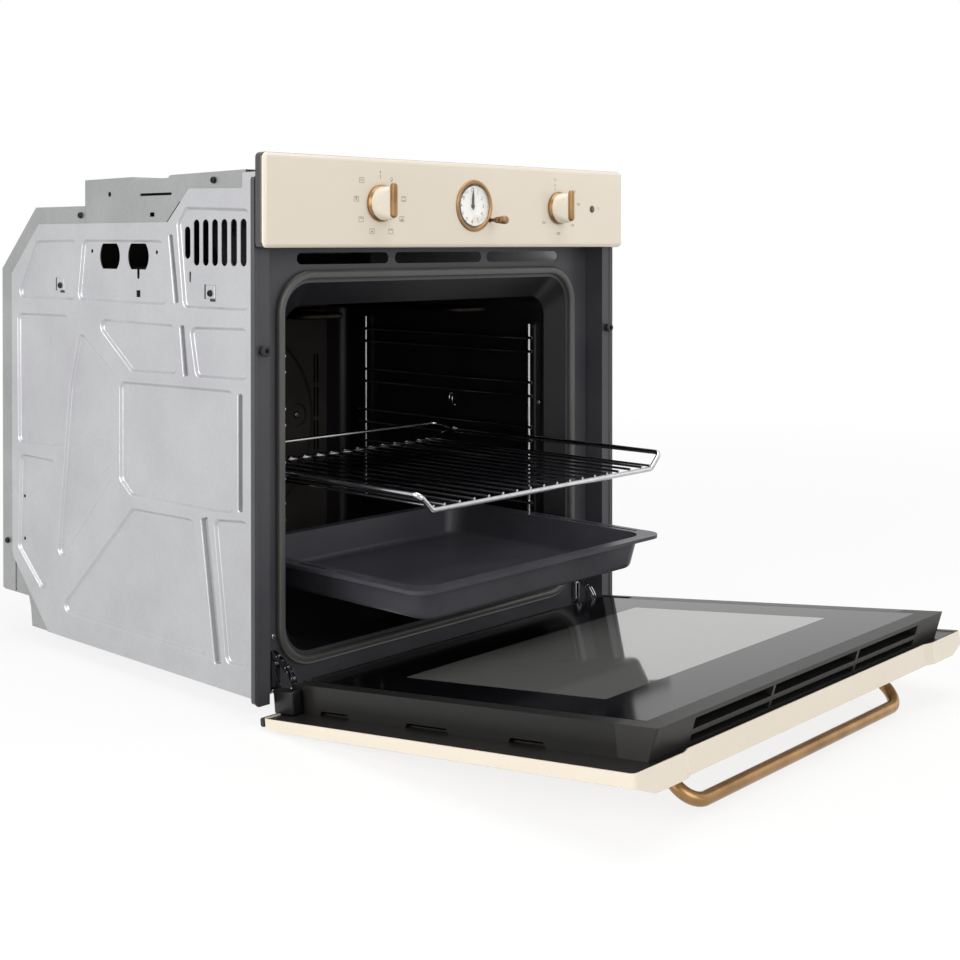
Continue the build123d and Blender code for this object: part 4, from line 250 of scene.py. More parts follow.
ZINC = galvanised_sheet("galvanised_sheet_steel", "#acacb0", "#bdbebf", 0.75)
SCREW_BLACK = galvanised_sheet("black_oxide_screw_steel", "#1c1c1e", "#2e2e30", 0.8)
# Painted shade: a darker copy of the same sheet for the rear, top and base covers and the blower housing
SHADED_ZINC = galvanised_sheet("galvanised_sheet_painted_shade", "#8e8f8f", "#a2a3a3", 0.7)
print(ZINC.name, SHADED_ZINC.name, SCREW_BLACK.name)

# %% [markdown]
# ## Bare, bright and heated steel
# Hinges, motors and fans are plain rolled steel, the racks and the shelf are chromed wire, and
# the elements are steel tubes that heat has turned dull and brown. The hinge arms are a darker
# copy of the steel, painted shade for the shadow that they sit in.


# %% Steels
def steel(name, dark, light, rough_low, rough_high, patch_mm, relief):
    material, tree, shader, place = start_material(name, Metallic=1.0)
    patches = noise(tree, place, patch_mm, detail=5.0, rough=0.6)
    share = spread(tree, patches, 0.3, 0.7, 0.0, 1.0)
    tree.links.new(blend_colours(tree, share, dark, light), shader.inputs["Base Color"])
    tree.links.new(spread(tree, patches, 0.3, 0.7, rough_high, rough_low), shader.inputs["Roughness"])
    bump(tree, shader, patches, relief, 0.3)
    return material


PLAIN_STEEL = steel("plain_rolled_steel", "#8a8b8d", "#b2b3b5", 0.3, 0.44, 8.0, 0.02)
CHROME = steel("bright_chromed_wire", "#a9aaac", "#c2c3c5", 0.12, 0.2, 14.0, 0.01)
SHEATH = steel("heated_element_sheath", "#1d1a18", "#332c27", 0.45, 0.6, 12.0, 0.03)
# Painted shade: the hinge arms are a darker copy of the steel, for the shadow they sit in
SHADED_HINGE_STEEL = steel("hinge_steel_painted_shade", "#2b2b2d", "#3d3d3f", 0.35, 0.5, 7.0, 0.02)
print(PLAIN_STEEL.name, CHROME.name, SHEATH.name, SHADED_HINGE_STEEL.name)

# %% [markdown]
# ## Antique bronze
# The handle, the knob rings and the clock's bezel have a bronze lacquer over metal: a warm
# brown with a soft sheen, a little darker where the lacquer lies thicker.


# %% Bronze
def antique_bronze():
    sockets = {"Metallic": 0.85, "Coat_Weight": 0.25, "Coat_Roughness": 0.3}
    material, tree, shader, place = start_material("antique_bronze_lacquer", **sockets)
    cloud = noise(tree, place, 30.0, detail=4.0)
    grain = noise(tree, place, 0.9, detail=2.0)
    share = spread(tree, cloud, 0.3, 0.7, 0.0, 1.0)
    tree.links.new(blend_colours(tree, share, "#87663f", "#a58054"), shader.inputs["Base Color"])
    tree.links.new(spread(tree, grain, 0.3, 0.7, 0.26, 0.36), shader.inputs["Roughness"])
    bump(tree, shader, grain, 0.02, 0.25)
    return material


BRONZE = antique_bronze()
print(BRONZE.name)

# %% [markdown]
# ## Moulded plastics and rubber
# The knobs are glossy cream plastic. The trims, switches and carriers are black plastic with a
# fine spark-eroded grain, and the gasket is matt silicone rubber.


# %% Plastics and rubber
def moulded(name, dark, light, rough_low, rough_high, grain_mm, relief, **sockets):
    material, tree, shader, place = start_material(name, **sockets)
    grain = noise(tree, place, grain_mm, detail=2.0, rough=0.6)
    cloud = noise(tree, place, 60.0)
    tree.links.new(blend_colours(tree, cloud, dark, light), shader.inputs["Base Color"])
    tree.links.new(spread(tree, grain, 0.3, 0.7, rough_low, rough_high), shader.inputs["Roughness"])
    bump(tree, shader, grain, relief, 0.4)
    return material


CREAM_PLASTIC = moulded("cream_abs", "#dfd4c2", "#e8decd", 0.22, 0.3, 4.0, 0.02, Coat_Weight=0.2)
BLACK_PLASTIC = moulded(
    "black_grained_pbt", "#201f1e", "#2a2827", 0.42, 0.56, 1.0, 0.05, Specular_IOR_Level=0.35
)
CAP_NYLON = moulded(
    "black_glossy_nylon", "#0b0b0c", "#121213", 0.3, 0.4, 1.0, 0.03, Specular_IOR_Level=0.3
)
SILICONE = moulded("silicone_gasket", "#454442", "#535250", 0.32, 0.42, 1.4, 0.03)
BLACK_SHEET = moulded(
    "black_painted_sheet", "#141312", "#1d1b1a", 0.3, 0.38, 1.6, 0.02, Specular_IOR_Level=0.3
)
DIAL_WHITE = moulded("dial_lacquer", "#dcd8d6", "#e4e1de", 0.35, 0.45, 2.0, 0.005)
HAND_BLACK = moulded("painted_clock_hand", "#141414", "#1e1d1c", 0.35, 0.45, 1.0, 0.005)
AMBER = moulded("amber_lens", "#2a1d15", "#3a271b", 0.2, 0.28, 2.0, 0.005, Coat_Weight=0.5)
PRINT = moulded("screen_print_ink", "#4d4034", "#5c4d3e", 0.45, 0.55, 1.0, 0.002)
print(CREAM_PLASTIC.name, BLACK_PLASTIC.name, SILICONE.name)

# %% [markdown]
# ## Mineral wool
# The blanket round the cavity is glass wool, soft and yellowish, with fibres in every direction.


# %% Mineral wool
def mineral_wool():
    sockets = {"Roughness": 0.95, "Sheen_Weight": 0.3}
    material, tree, shader, place = start_material("glass_mineral_wool", **sockets)
    fibres = noise(tree, place, 2.5, detail=8.0, rough=0.8)
    tree.links.new(blend_colours(tree, fibres, "#a08d55", "#dccf9d"), shader.inputs["Base Color"])
    bump(tree, shader, fibres, 1.2, 0.8)
    return material


WOOL = mineral_wool()
print(WOOL.name)

# %% [markdown]
# ## Glass
# The clock and lamp glasses are clear. The two large panes of the door have a border of black
# fired-on enamel, and the clear field has a thin metal coating that throws heat back, so it
# looks like a weak mirror. The border follows the pane, so its edge is worked out on the
# object's own coordinates from the pane's box.


# %% Glass
def let_light_through(tree, surface, tint):
    """Lets lamps shine through a thin pane, which a refracting shader alone would shade."""
    rays = add_node(tree, "ShaderNodeLightPath").outputs
    open_way = add_node(tree, "ShaderNodeBsdfTransparent", {"Color": linear(tint)})
    both = add_node(tree, "ShaderNodeMixShader", {"Fac": rays["Is Shadow Ray"]})
    tree.links.new(surface, both.inputs[1])
    tree.links.new(open_way.outputs[0], both.inputs[2])
    tree.links.new(both.outputs[0], tree.nodes["Material Output"].inputs["Surface"])


def clear_glass(name, tint):
    material, tree, shader, place = start_material(
        name, Roughness=0.03, Transmission_Weight=1.0, IOR=1.5, Base_Color=linear(tint)
    )
    film = noise(tree, place, 40.0)
    tree.links.new(spread(tree, film, 0.3, 0.7, 0.01, 0.05), shader.inputs["Roughness"])
    let_light_through(tree, shader.outputs[0], tint)
    return material


def bordered_glass(name, half_x, low_y, high_y, corner, tint, metallic):
    """Pane with a black border round a coated field; the field is a rounded box in X and Y."""
    material, tree, shader, place = start_material(name, Roughness=0.05, IOR=1.5)
    parts = add_node(tree, "ShaderNodeSeparateXYZ", {"Vector": place})
    squares = []
    for axis, middle, half in (("X", 0.0, half_x), ("Y", (low_y + high_y) / 2, (high_y - low_y) / 2)):
        value = parts.outputs[axis]
        sums = [("SUBTRACT", middle), ("ABSOLUTE", 0.0), ("SUBTRACT", half - corner), ("MAXIMUM", 0.0)]
        for operation, second in [*sums, ("POWER", 2.0)]:
            value = add_node(tree, "ShaderNodeMath", {0: value, 1: second}, operation=operation).outputs[0]
        squares.append(value)
    total = add_node(tree, "ShaderNodeMath", {0: squares[0], 1: squares[1]}, operation="ADD")
    distance = add_node(tree, "ShaderNodeMath", {0: total.outputs[0], 1: 0.5}, operation="POWER")
    border = spread(tree, distance.outputs[0], corner - 0.2 * MM, corner + 0.2 * MM, 0.0, 1.0)
    film = noise(tree, place, 50.0)
    fired = {"Base Color": linear("#08080a"), "Roughness": 0.1, "Specular IOR Level": 0.12}
    enamel = add_node(tree, "ShaderNodeBsdfPrincipled", fired)
    coated = {"Base Color": linear(tint), "Transmission Weight": 1.0 - metallic, "Metallic": metallic}
    coating = add_node(tree, "ShaderNodeBsdfPrincipled", coated)
    tree.links.new(spread(tree, film, 0.3, 0.7, 0.03, 0.08), coating.inputs["Roughness"])
    both = add_node(tree, "ShaderNodeMixShader", {"Fac": border})
    tree.links.new(coating.outputs[0], both.inputs[1])
    tree.links.new(enamel.outputs[0], both.inputs[2])
    output = tree.nodes["Material Output"]
    tree.links.new(both.outputs[0], output.inputs["Surface"])
    tree.nodes.remove(shader)
    return material


CLEAR = clear_glass("clear_soda_lime_glass", "#fbfcfb")
inner_low, inner_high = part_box("inner_glass")
outer_low, outer_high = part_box("outer_glass")
INNER_FIELD_HALF = 195 * MM
OUTER_FIELD_HALF = 185 * MM
OUTER_BORDER = 24 * MM
inner_length = inner_high.y - inner_low.y
INNER_PANE = bordered_glass(
    "coated_inner_pane",
    INNER_FIELD_HALF,
    inner_high.y - 0.81 * inner_length,
    inner_high.y - 0.212 * inner_length,
    3 * MM,
    "#a2a39f",
    0.45,
)
OUTER_PANE = bordered_glass(
    "tinted_outer_pane",
    OUTER_FIELD_HALF,
    outer_low.y + OUTER_BORDER,
    outer_high.y - OUTER_BORDER,
    10 * MM,
    "#3c3d40",
    0.1,
)
print(INNER_PANE.name, OUTER_PANE.name)

# %% [markdown]
# ## Give the parts their finishes
# Each part already has a material slot from CAD, and its finish goes into that slot.

# %% Finish the parts
finishes = {
    CREAM: ["door_outer_panel"],
    FASCIA_CREAM: ["control_fascia"],
    FRAME_ENAMEL: ["front_frame"],
    CAVITY_ENAMEL: ["cavity_liner"],
    REAR_ENAMEL: ["fan_baffle"],
    TRAY_ENAMEL: ["baking_tray"],
    ZINC: ["side_panel_right", "side_panel_left"],
    SHADED_ZINC: ["rear_cover", "top_cover", "base_panel", "blower_housing"],
    PLAIN_STEEL: ["fan_impeller", "fan_motor", "blower_wheel", "blower_motor"],
    SHADED_HINGE_STEEL: ["hinge_arm_left", "hinge_arm_right"],
    CHROME: ["wire_shelf", "side_rack_left", "side_rack_right", "hinge_latch_left", "hinge_latch_right"],
    SHEATH: ["ring_element", "grill_element", "base_element"],
    BRONZE: [
        "door_handle", "selector_ring", "selector_pointer", "thermostat_ring", "thermostat_pointer",
        "clock_bezel", "clock_setting_knob",
    ],
    CREAM_PLASTIC: ["selector_knob", "thermostat_knob"],
    BLACK_PLASTIC: [
        "fascia_backing", "clock_case", "selector_switch", "thermostat", "terminal_box", "lamp_holder",
        "door_top_trim", "door_bottom_trim", "fixing_bushes",
    ],
    SILICONE: ["door_gasket"],
    BLACK_SHEET: ["door_backing", "door_side_frame_left", "door_side_frame_right", "door_lower_rail"],
    DIAL_WHITE: ["clock_dial"],
    HAND_BLACK: ["hour_hand", "minute_hand"],
    AMBER: ["indicator_lamp"],
    CLEAR: ["clock_glass", "lamp_lens", "middle_glass"],
    INNER_PANE: ["inner_glass"],
    OUTER_PANE: ["outer_glass"],
    WOOL: ["insulation_blanket"],
}
for material, names in finishes.items():
    for name in names:
        mesh = nodes[name].data
        mesh.materials.clear()
        mesh.materials.append(material)
print(sum(len(names) for names in finishes.values()), "parts finished")

# %% [markdown]
# ## Makers of small pieces
# Screws, printed marks and wire clips are too small for CAD. Each is drawn flat, along Z, and
# then turned to face out of the surface that it stands on. It rides on the body that carries it.

# %% Makers of small pieces
INK = 0.04
FRONT, LEFT, RIGHT, BACK = (0, -1, 0), (-1, 0, 0), (1, 0, 0), (0, 1, 0)


def facing(place, direction):
    """Matrix that stands a drawing on a point in mm, with its Z along a direction."""
    turn = Vector(direction).to_track_quat("Z", "Y").to_matrix().to_4x4()
    return Matrix.Translation(Vector(place) * MM) @ turn


def at_mm(x, y, z=0.0, angle=0.0, size=(1, 1, 1)):
    """Move in mm, turn in degrees about Z and scale in mm, in a drawing's own axes."""
    place = Matrix.Translation(Vector((x, y, z)) * MM)
    turn = Matrix.Rotation(math.radians(angle), 4, "Z")
    return place @ turn @ Matrix.Diagonal((*(Vector(size) * MM), 1))


def bar(shape, base, x, y, width, height, angle=0.0, thick=INK):
    """Flat bar on a surface, by its middle."""
    matrix = base @ at_mm(x, y, thick / 2, angle, (width, height, thick))
    bmesh.ops.create_cube(shape, size=1, matrix=matrix)


def disc(shape, base, x, y, radius, thick=INK, steps=24):
    """Flat disc on a surface, by its middle."""
    matrix = base @ at_mm(x, y, thick / 2, 0, (1, 1, 1))
    bmesh.ops.create_cone(
        shape, cap_ends=True, segments=steps, radius1=radius, radius2=radius, depth=thick, matrix=matrix
    )


def hoop(shape, base, x, y, radius, width, steps=24):
    """Flat ring on a surface, laid from short bars."""
    chord = 2 * radius * math.tan(math.pi / steps) + width * 0.2
    for step in range(steps):
        angle = 360 * step / steps
        dx, dy = radius * math.cos(math.radians(angle)), radius * math.sin(math.radians(angle))
        bar(shape, base, x + dx, y + dy, width, chord, angle)


def wire(shape, points, radius):
    """Round wire through points in mm, with a ball at each bend."""
    places = [Vector(point) for point in points]
    for start, end in zip(places, places[1:]):
        run = end - start
        bmesh.ops.create_cone(
            shape, cap_ends=True, segments=16, radius1=radius * MM, radius2=radius * MM,
            depth=run.length * MM, matrix=facing((start + end) / 2, run),
        )
    for place in places:
        middle = Matrix.Translation(place * MM)
        bmesh.ops.create_uvsphere(shape, u_segments=16, v_segments=10, radius=radius * MM, matrix=middle)


def finish_piece(name, body, material, shape, smooth=False):
    """Turns a drawing into a piece of the oven that rides on a body."""
    data = bpy.data.meshes.new(name)
    bmesh.ops.recalc_face_normals(shape, faces=shape.faces)
    for face in shape.faces:
        face.smooth = smooth
    shape.to_mesh(data)
    shape.free()
    data.materials.append(material)
    piece = bpy.data.objects.new(name, data)
    bpy.context.scene.collection.objects.link(piece)
    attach(piece, body)
    return piece


def mesh_from(maker):
    """Mesh drawn by a function, in mm turned to metres."""
    shape = bmesh.new()
    maker(shape)
    data = bpy.data.meshes.new("template")
    shape.to_mesh(data)
    shape.free()
    return data


def cut(data, cutter):
    """First mesh with the second one cut out of it."""
    body, tool = bpy.data.objects.new("body", data), bpy.data.objects.new("tool", cutter)
    for part in (body, tool):
        bpy.context.scene.collection.objects.link(part)
    body.modifiers.new("cut", "BOOLEAN").object = tool
    done = bpy.data.meshes.new_from_object(body.evaluated_get(bpy.context.evaluated_depsgraph_get()))
    for part in (body, tool):
        bpy.data.objects.remove(part)
    return done


def screw_head(radius, height):
    """Pan head with a rounded edge and a cross recess."""

    def pan(shape):
        matrix = at_mm(0, 0, height / 2)
        bmesh.ops.create_cone(
            shape, cap_ends=True, segments=32, radius1=radius, radius2=radius * 0.86, depth=height,
            matrix=matrix,
        )
        rim = [edge for edge in shape.edges if min(v.co.z for v in edge.verts) > height * 0.9 * MM]
        edge = height * 0.35 * MM
        bmesh.ops.bevel(shape, geom=rim, offset=edge, segments=3, affect="EDGES", profile=0.5, material=-1)

    def recess(angle):
        def groove(shape):
            matrix = at_mm(0, 0, height, angle, (radius * 1.1, radius * 0.24, height * 1.2))
            bmesh.ops.create_cube(shape, size=1, matrix=matrix)

        return mesh_from(groove)

    return cut(cut(mesh_from(pan), recess(0)), recess(90))


def stamp(shape, template, base):
    """Adds one copy of a mesh to a drawing, moved by a matrix."""
    count = len(shape.verts)
    shape.from_mesh(template)
    shape.verts.ensure_lookup_table()
    bmesh.ops.transform(shape, matrix=base, verts=shape.verts[count:])


def screws(name, body, material, template, spots):
    """One piece with a screw at each place, facing each direction."""
    shape = bmesh.new()
    for place, direction in spots:
        stamp(shape, template, facing(place, direction))
    return finish_piece(name, body, material, shape)


def lettering(words, size):
    """Mesh of a few figures, centred on the origin."""
    curve = bpy.data.curves.new("figures", "FONT")
    curve.body = words
    curve.size = size * MM
    curve.align_x, curve.align_y = "CENTER", "CENTER"
    curve.extrude = INK / 2 * MM
    curve.resolution_u = 3
    holder = bpy.data.objects.new("figures", curve)
    bpy.context.scene.collection.objects.link(holder)
    data = bpy.data.meshes.new_from_object(holder.evaluated_get(bpy.context.evaluated_depsgraph_get()))
    bpy.data.objects.remove(holder)
    return data


print("makers ready")

# %% [markdown]
# ## Marks on the fascia and the dial
# Symbols for the kinds of heat stand round the left knob and temperatures round the right one.
# They are printed in brown ink, so they are hardly thicker than paper.

# %% Marks
fascia_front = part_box("control_fascia")[0].y / MM
dial_low, dial_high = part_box("clock_dial")


def oven_symbol(shape, x, z, marks):
    """Printed symbol about 7 mm wide: an oven's outline with marks inside it."""
    base = facing((x, fascia_front, z), FRONT)
    if "box" in marks:
        for dy in (-2.7, 2.7):
            bar(shape, base, 0, dy, 7.0, 0.42)
        for dx in (-3.3, 3.3):
            bar(shape, base, dx, 0, 0.42, 5.4)
    if "low" in marks:
        bar(shape, base, 0, -1.6, 4.4, 0.5)
    if "high" in marks:
        bar(shape, base, 0, 1.6, 4.4, 0.5)
    if "grill" in marks:
        for i in range(4):
            bar(shape, base, -1.65 + 1.1 * i, 1.3, 0.42, 1.6, 35 if i % 2 else -35)
    if "fan" in marks:
        disc(shape, base, 0, -0.2, 0.42)
        for angle in (90, 210, 330):
            turn = math.radians(angle)
            bar(shape, base, 1.05 * math.cos(turn), 1.05 * math.sin(turn) - 0.2, 1.5, 0.62, angle)
    if "bulb" in marks:
        hoop(shape, base, 0, 0.5, 1.7, 0.4)
        bar(shape, base, 0, -1.9, 1.4, 1.0)
    if "drop" in marks:
        for dx in (-1.4, 0, 1.4):
            bar(shape, base, dx, 0.2, 0.4, 2.2, 12)
    if "off" in marks:
        disc(shape, base, 0, 3.4, 0.9)
        bar(shape, base, 0, -1.6, 0.5, 5.2)


heat_symbols = [
    (-136.5, 559, ["off"]), (-119.5, 554.5, ["bulb"]), (-101, 533, ["box", "high", "low"]),
    (-104, 510.5, ["box", "low", "fan"]), (-121, 496.5, ["box", "high"]),
    (-149, 496.5, ["box", "fan"]), (-165, 509.5, ["box", "grill"]),
    (-172, 532, ["box", "grill", "fan"]), (-164, 552.5, ["box", "drop"]), (160.5, 553, ["off"]),
]
shape = bmesh.new()
for x, z, marks in heat_symbols:
    oven_symbol(shape, x, z, marks)
finish_piece("heat_symbols", "case", PRINT, shape)

FIGURE_HEIGHT = 4.6
temperatures = [("50", 198, 549), ("100", 206, 533), ("150", 194, 506), ("200", 167, 495.5)]
temperatures.append(("250", 139, 509))
shape = bmesh.new()
for words, x, z in [*temperatures, ("°C", 160.5, 563), ("°C", 246.5, 528)]:
    stamp(shape, lettering(words, FIGURE_HEIGHT), facing((x, fascia_front - INK / 2, z), FRONT))
finish_piece("temperature_figures", "case", PRINT, shape)

HOUR_HEIGHT = 6.4
HOUR_INSET = 7.6
dial_middle = (dial_low + dial_high) / 2 / MM
dial_centre = (dial_middle.x, dial_low.y / MM, dial_middle.z)
dial_radius = (dial_high.x - dial_low.x) / 2 / MM
dial_face = facing(dial_centre, FRONT)
shape = bmesh.new()
for minute in range(60):
    angle = 90 - 6 * minute
    size = (2.2, 0.55) if minute % 5 == 0 else (1.1, 0.22)
    reach = dial_radius - 3.0 - size[0] / 2
    turn = math.radians(angle)
    bar(shape, dial_face, reach * math.cos(turn), reach * math.sin(turn), *size, angle)
for hour in range(1, 13):
    turn = math.radians(90 - 30 * hour)
    reach = dial_radius - HOUR_INSET
    place = Vector((reach * math.cos(turn), reach * math.sin(turn), INK / 2)) * MM
    stamp(shape, lettering(str(hour), HOUR_HEIGHT), dial_face @ Matrix.Translation(place))
finish_piece("dial_figures", "case", PRINT, shape)
print(len(heat_symbols), "symbols and", len(temperatures), "temperatures")

# %% [markdown]
# ## Turned pieces and drawn-out pieces
# A bezel, a lamp cap or a small knob is turned on a lathe. Here half of its section is drawn as a
# line of a few points and spun about its axis. A knob's grip isn't round, so it is drawn out
# instead: it starts from a circle, and each further ring is extruded from the last one, made
# narrower and moved on. Both halves of a ring keep their round ends, because each half is scaled
# about its own centre.

# %% Turned pieces and drawn-out pieces
TURN_STEPS = 96
RING_SEGMENTS = 64
SLACK = 0.001


def close_ends(shape):
    """Fills the open rings of a shape."""
    bmesh.ops.holes_fill(shape, edges=[edge for edge in shape.edges if edge.is_boundary], sides=0)


def turned(shape, x, z, profile, closed=True):
    """Round piece about an axis along Y, from pairs of depth and radius in mm."""
    corners = [shape.verts.new(Vector((x + radius, y, z)) * MM) for y, radius in profile]
    line = [shape.edges.new(pair) for pair in zip(corners, corners[1:])]
    middle = Vector((x, 0, z)) * MM
    bmesh.ops.spin(
        shape, geom=[*corners, *line], cent=middle, axis=(0, 1, 0), angle=math.tau, steps=TURN_STEPS,
        use_merge=True,
    )
    bmesh.ops.remove_doubles(shape, verts=shape.verts, dist=SLACK * MM)
    if closed:
        close_ends(shape)


def flute(shape, x, z, depths, count, deepest):
    """Presses flutes into the rings of a turned piece that lie at the given depths in mm."""
    for vert in shape.verts:
        if any(abs(vert.co.y / MM - depth) < 10 * SLACK for depth in depths):
            across, up = vert.co.x - x * MM, vert.co.z - z * MM
            pressed = deepest * MM * (1 + math.cos(count * math.atan2(up, across))) / 2
            share = 1 - pressed / math.hypot(across, up)
            vert.co.x, vert.co.z = x * MM + across * share, z * MM + up * share


def reshape(shape, edges, x, z, old, new):
    """Moves a ring from one depth, half width and half height to another, in mm."""
    verts = list(dict.fromkeys(vert for edge in edges for vert in edge.verts))
    upper = [vert for vert in verts if vert.co.z > (z - SLACK) * MM]
    lower = [vert for vert in verts if vert.co.z <= (z - SLACK) * MM]
    grow = new[1] / old[1]
    for half, sign in ((upper, 1), (lower, -1)):
        before = Vector((x, old[0], z + sign * (old[2] - old[1]))) * MM
        after = Vector((x, new[0], z + sign * (new[2] - new[1]))) * MM
        scaled = Matrix.Diagonal((grow, 1, grow, 1)) @ Matrix.Translation(-before)
        bmesh.ops.transform(shape, matrix=Matrix.Translation(after) @ scaled, verts=half)


def drawn_out(shape, x, z, rings):
    """Upright piece through rings, each a depth, a half width and a half height in mm."""
    depth, half_width, half_height = rings[0]
    upright = facing((x, depth, z), FRONT)
    bmesh.ops.create_circle(shape, segments=RING_SEGMENTS, radius=half_width * MM, matrix=upright)
    rim = shape.edges[:]
    reshape(shape, rim, x, z, (depth, half_width, half_width), rings[0])
    for last, ring in zip(rings, rings[1:]):
        grown = bmesh.ops.extrude_edge_only(shape, edges=rim)["geom"]
        rim = [part for part in grown if isinstance(part, bmesh.types.BMEdge) and part.is_boundary]
        reshape(shape, rim, x, z, last, ring)
    close_ends(shape)


print("turning and drawing out ready")

# %% [markdown]
# ## Knobs
# A knob's cream body starts round behind its bronze ring and narrows to an upright grip. A slim
# bronze bar with rounded edges is let in along the front of the grip. Both stand in for plainer
# solids of the same size.

# %% Knobs
GRIP_RADIUS = 18.9
GRIP_FRONT_WIDTH = 3.7
GRIP_FRONT_HEIGHT = 17.9
GRIP_STEPS = 24
BAR_WIDTH = 4.3
BAR_EDGE = 2.4
BAR_FOOT = 1.4
for prefix, body in (("selector", "selector"), ("thermostat", "thermostat_control")):
    ring_low, ring_high = (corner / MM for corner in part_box(prefix + "_ring"))
    bar_low, bar_high = (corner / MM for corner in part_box(prefix + "_pointer"))
    knob_x, knob_z = (ring_low.x + ring_high.x) / 2, (ring_low.z + ring_high.z) / 2
    start, front = ring_low.y + 0.5, bar_low.y + 4.6
    rings = [(start + 4, GRIP_RADIUS - 0.6, GRIP_RADIUS - 0.6), (start + 1.2, GRIP_RADIUS, GRIP_RADIUS)]
    for step in range(GRIP_STEPS + 1):
        share = step / GRIP_STEPS
        narrow = share**1.25
        half_width = GRIP_RADIUS * (1 - narrow) + GRIP_FRONT_WIDTH * narrow
        half_height = max(half_width, GRIP_RADIUS * (1 - share) + GRIP_FRONT_HEIGHT * share)
        rings.append((start + (front - start) * share, half_width, half_height))
    shape = bmesh.new()
    drawn_out(shape, knob_x, knob_z, rings)
    grip = finish_piece(prefix + "_grip", body, CREAM_PLASTIC, shape, smooth=True)
    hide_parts(prefix + "_knob")

    bar_height, bar_z = (bar_high.z - bar_low.z) / 2 - 0.1, (bar_high.z + bar_low.z) / 2
    rings = []
    for step in range(6):
        turn = math.radians(90 * step / 5)
        inset = BAR_FOOT * (1 - math.sin(turn))
        y = front + 0.5 - BAR_FOOT * (1 - math.cos(turn))
        rings.append((y, BAR_WIDTH - inset, bar_height - inset))
    for step in range(9):
        turn = math.radians(90 * step / 8)
        inset = BAR_EDGE * (1 - math.cos(turn))
        y = bar_low.y + 0.2 + BAR_EDGE * (1 - math.sin(turn))
        rings.append((y, BAR_WIDTH - inset, bar_height - inset))
    shape = bmesh.new()
    drawn_out(shape, knob_x, bar_z, rings)
    pointer = finish_piece(prefix + "_bar", body, BRONZE, shape, smooth=True)
    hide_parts(prefix + "_pointer")
    print(prefix, "grip", round(start - front, 1), "mm deep")

# %% [markdown]
# ## Clock bezel and glass
# The bezel is a thin bronze hoop with a round edge and a flat lip inside it. The glass is
# crowned by less than a millimetre, which is enough to bend what it mirrors.

# %% Clock bezel and glass
BEZEL_EDGE = 1.9
BEZEL_LIP = 4.9
GLASS_CROWN = 0.9
glass_low, glass_high = (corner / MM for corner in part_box("clock_glass"))
bezel_low, bezel_high = (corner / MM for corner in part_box("clock_bezel"))
clock_x, clock_z = (glass_low.x + glass_high.x) / 2, (glass_low.z + glass_high.z) / 2
rim = bezel_high.z - clock_z
crest = bezel_low.y + 4.2
profile = [(crest + 2.1, rim), (crest + BEZEL_EDGE, rim)]
for step in range(1, 11):
    turn = math.radians(150 * step / 10)
    profile.append((crest + BEZEL_EDGE * (1 - math.sin(turn)), rim - 2.4 * (1 - math.cos(turn))))
profile += [(crest + 1.2, rim - BEZEL_LIP), (crest + 1.8, rim - 5.1), (bezel_high.y, rim - 5.1)]
shape = bmesh.new()
turned(shape, clock_x, clock_z, profile, closed=False)
bezel = finish_piece("thin_bezel", "case", BRONZE, shape, smooth=True)
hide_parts("clock_bezel")

glass_radius = rim - BEZEL_LIP
pane = [(crest + 2.6, 4 + (glass_radius - 4) * i / 6) for i in range(7)]
crown = [(crest + 2.0 - GLASS_CROWN * (1 - (i / 6) ** 2), glass_radius * i / 6) for i in range(6, 0, -1)]
shape = bmesh.new()
turned(shape, clock_x, clock_z, [*pane, *crown])
crystal = finish_piece("crowned_glass", "case", CLEAR, shape, smooth=True)
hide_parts("clock_glass")
print("glass", round(2 * glass_radius, 1), "mm across")

# %% [markdown]
# ## Setting knob and lamp cap
# The little knob that sets the clock is turned from bar, with two fluted bands for the fingers.
# The lamp's cap is a small domed moulding that stands just proud of the fascia.

# %% Setting knob and lamp cap
FLUTES = 16
FLUTE_DEPTH = 0.56
FLUTED_BANDS = (17.2, 12.2, 10.6, 5.2)
SETTING_HEAD = [(20, 2.0), (19.4, 2.9), (17.6, 3.1), (17.2, 3.7), (12.2, 4.3), (11.8, 3.7), (11, 3.7)]
SETTING_HEAD += [(10.6, 4.4), (5.2, 5.0), (4.8, 4.2), (4, 4.2), (3.6, 4.9), (2.4, 5.0), (1.2, 4.6)]
SETTING_HEAD += [(0.4, 3.6), (0, 1.8)]
set_low, set_high = (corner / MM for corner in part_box("clock_setting_knob"))
set_x, set_z = (set_low.x + set_high.x) / 2, (set_low.z + set_high.z) / 2
head = set_low.y + 0.2
shape = bmesh.new()
turned(shape, set_x, set_z, [(set_high.y - 2, 2.0), *((head + y, radius) for y, radius in SETTING_HEAD)])
flute(shape, set_x, set_z, [head + y for y in FLUTED_BANDS], FLUTES, FLUTE_DEPTH)
crown_knob = finish_piece("fluted_setting_knob", "setting_knob", BRONZE, shape, smooth=True)
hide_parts("clock_setting_knob")

LAMP_CAP = [(0.05, 4.2), (0.1, 4.6), (0.5, 4.6), (0.9, 4.1), (1.2, 2.6)]
lamp_low, lamp_high = (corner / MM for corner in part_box("indicator_lamp"))
lamp_x, lamp_z = (lamp_low.x + lamp_high.x) / 2, (lamp_low.z + lamp_high.z) / 2
profile = [(lamp_high.y, 4.2), *((fascia_front - proud, radius) for proud, radius in LAMP_CAP)]
shape = bmesh.new()
turned(shape, lamp_x, lamp_z, profile)
lens = finish_piece("lamp_cap", "case", AMBER, shape, smooth=True)
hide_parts("indicator_lamp")
print("setting knob", round(set_high.y - 2 - head, 1), "mm long")
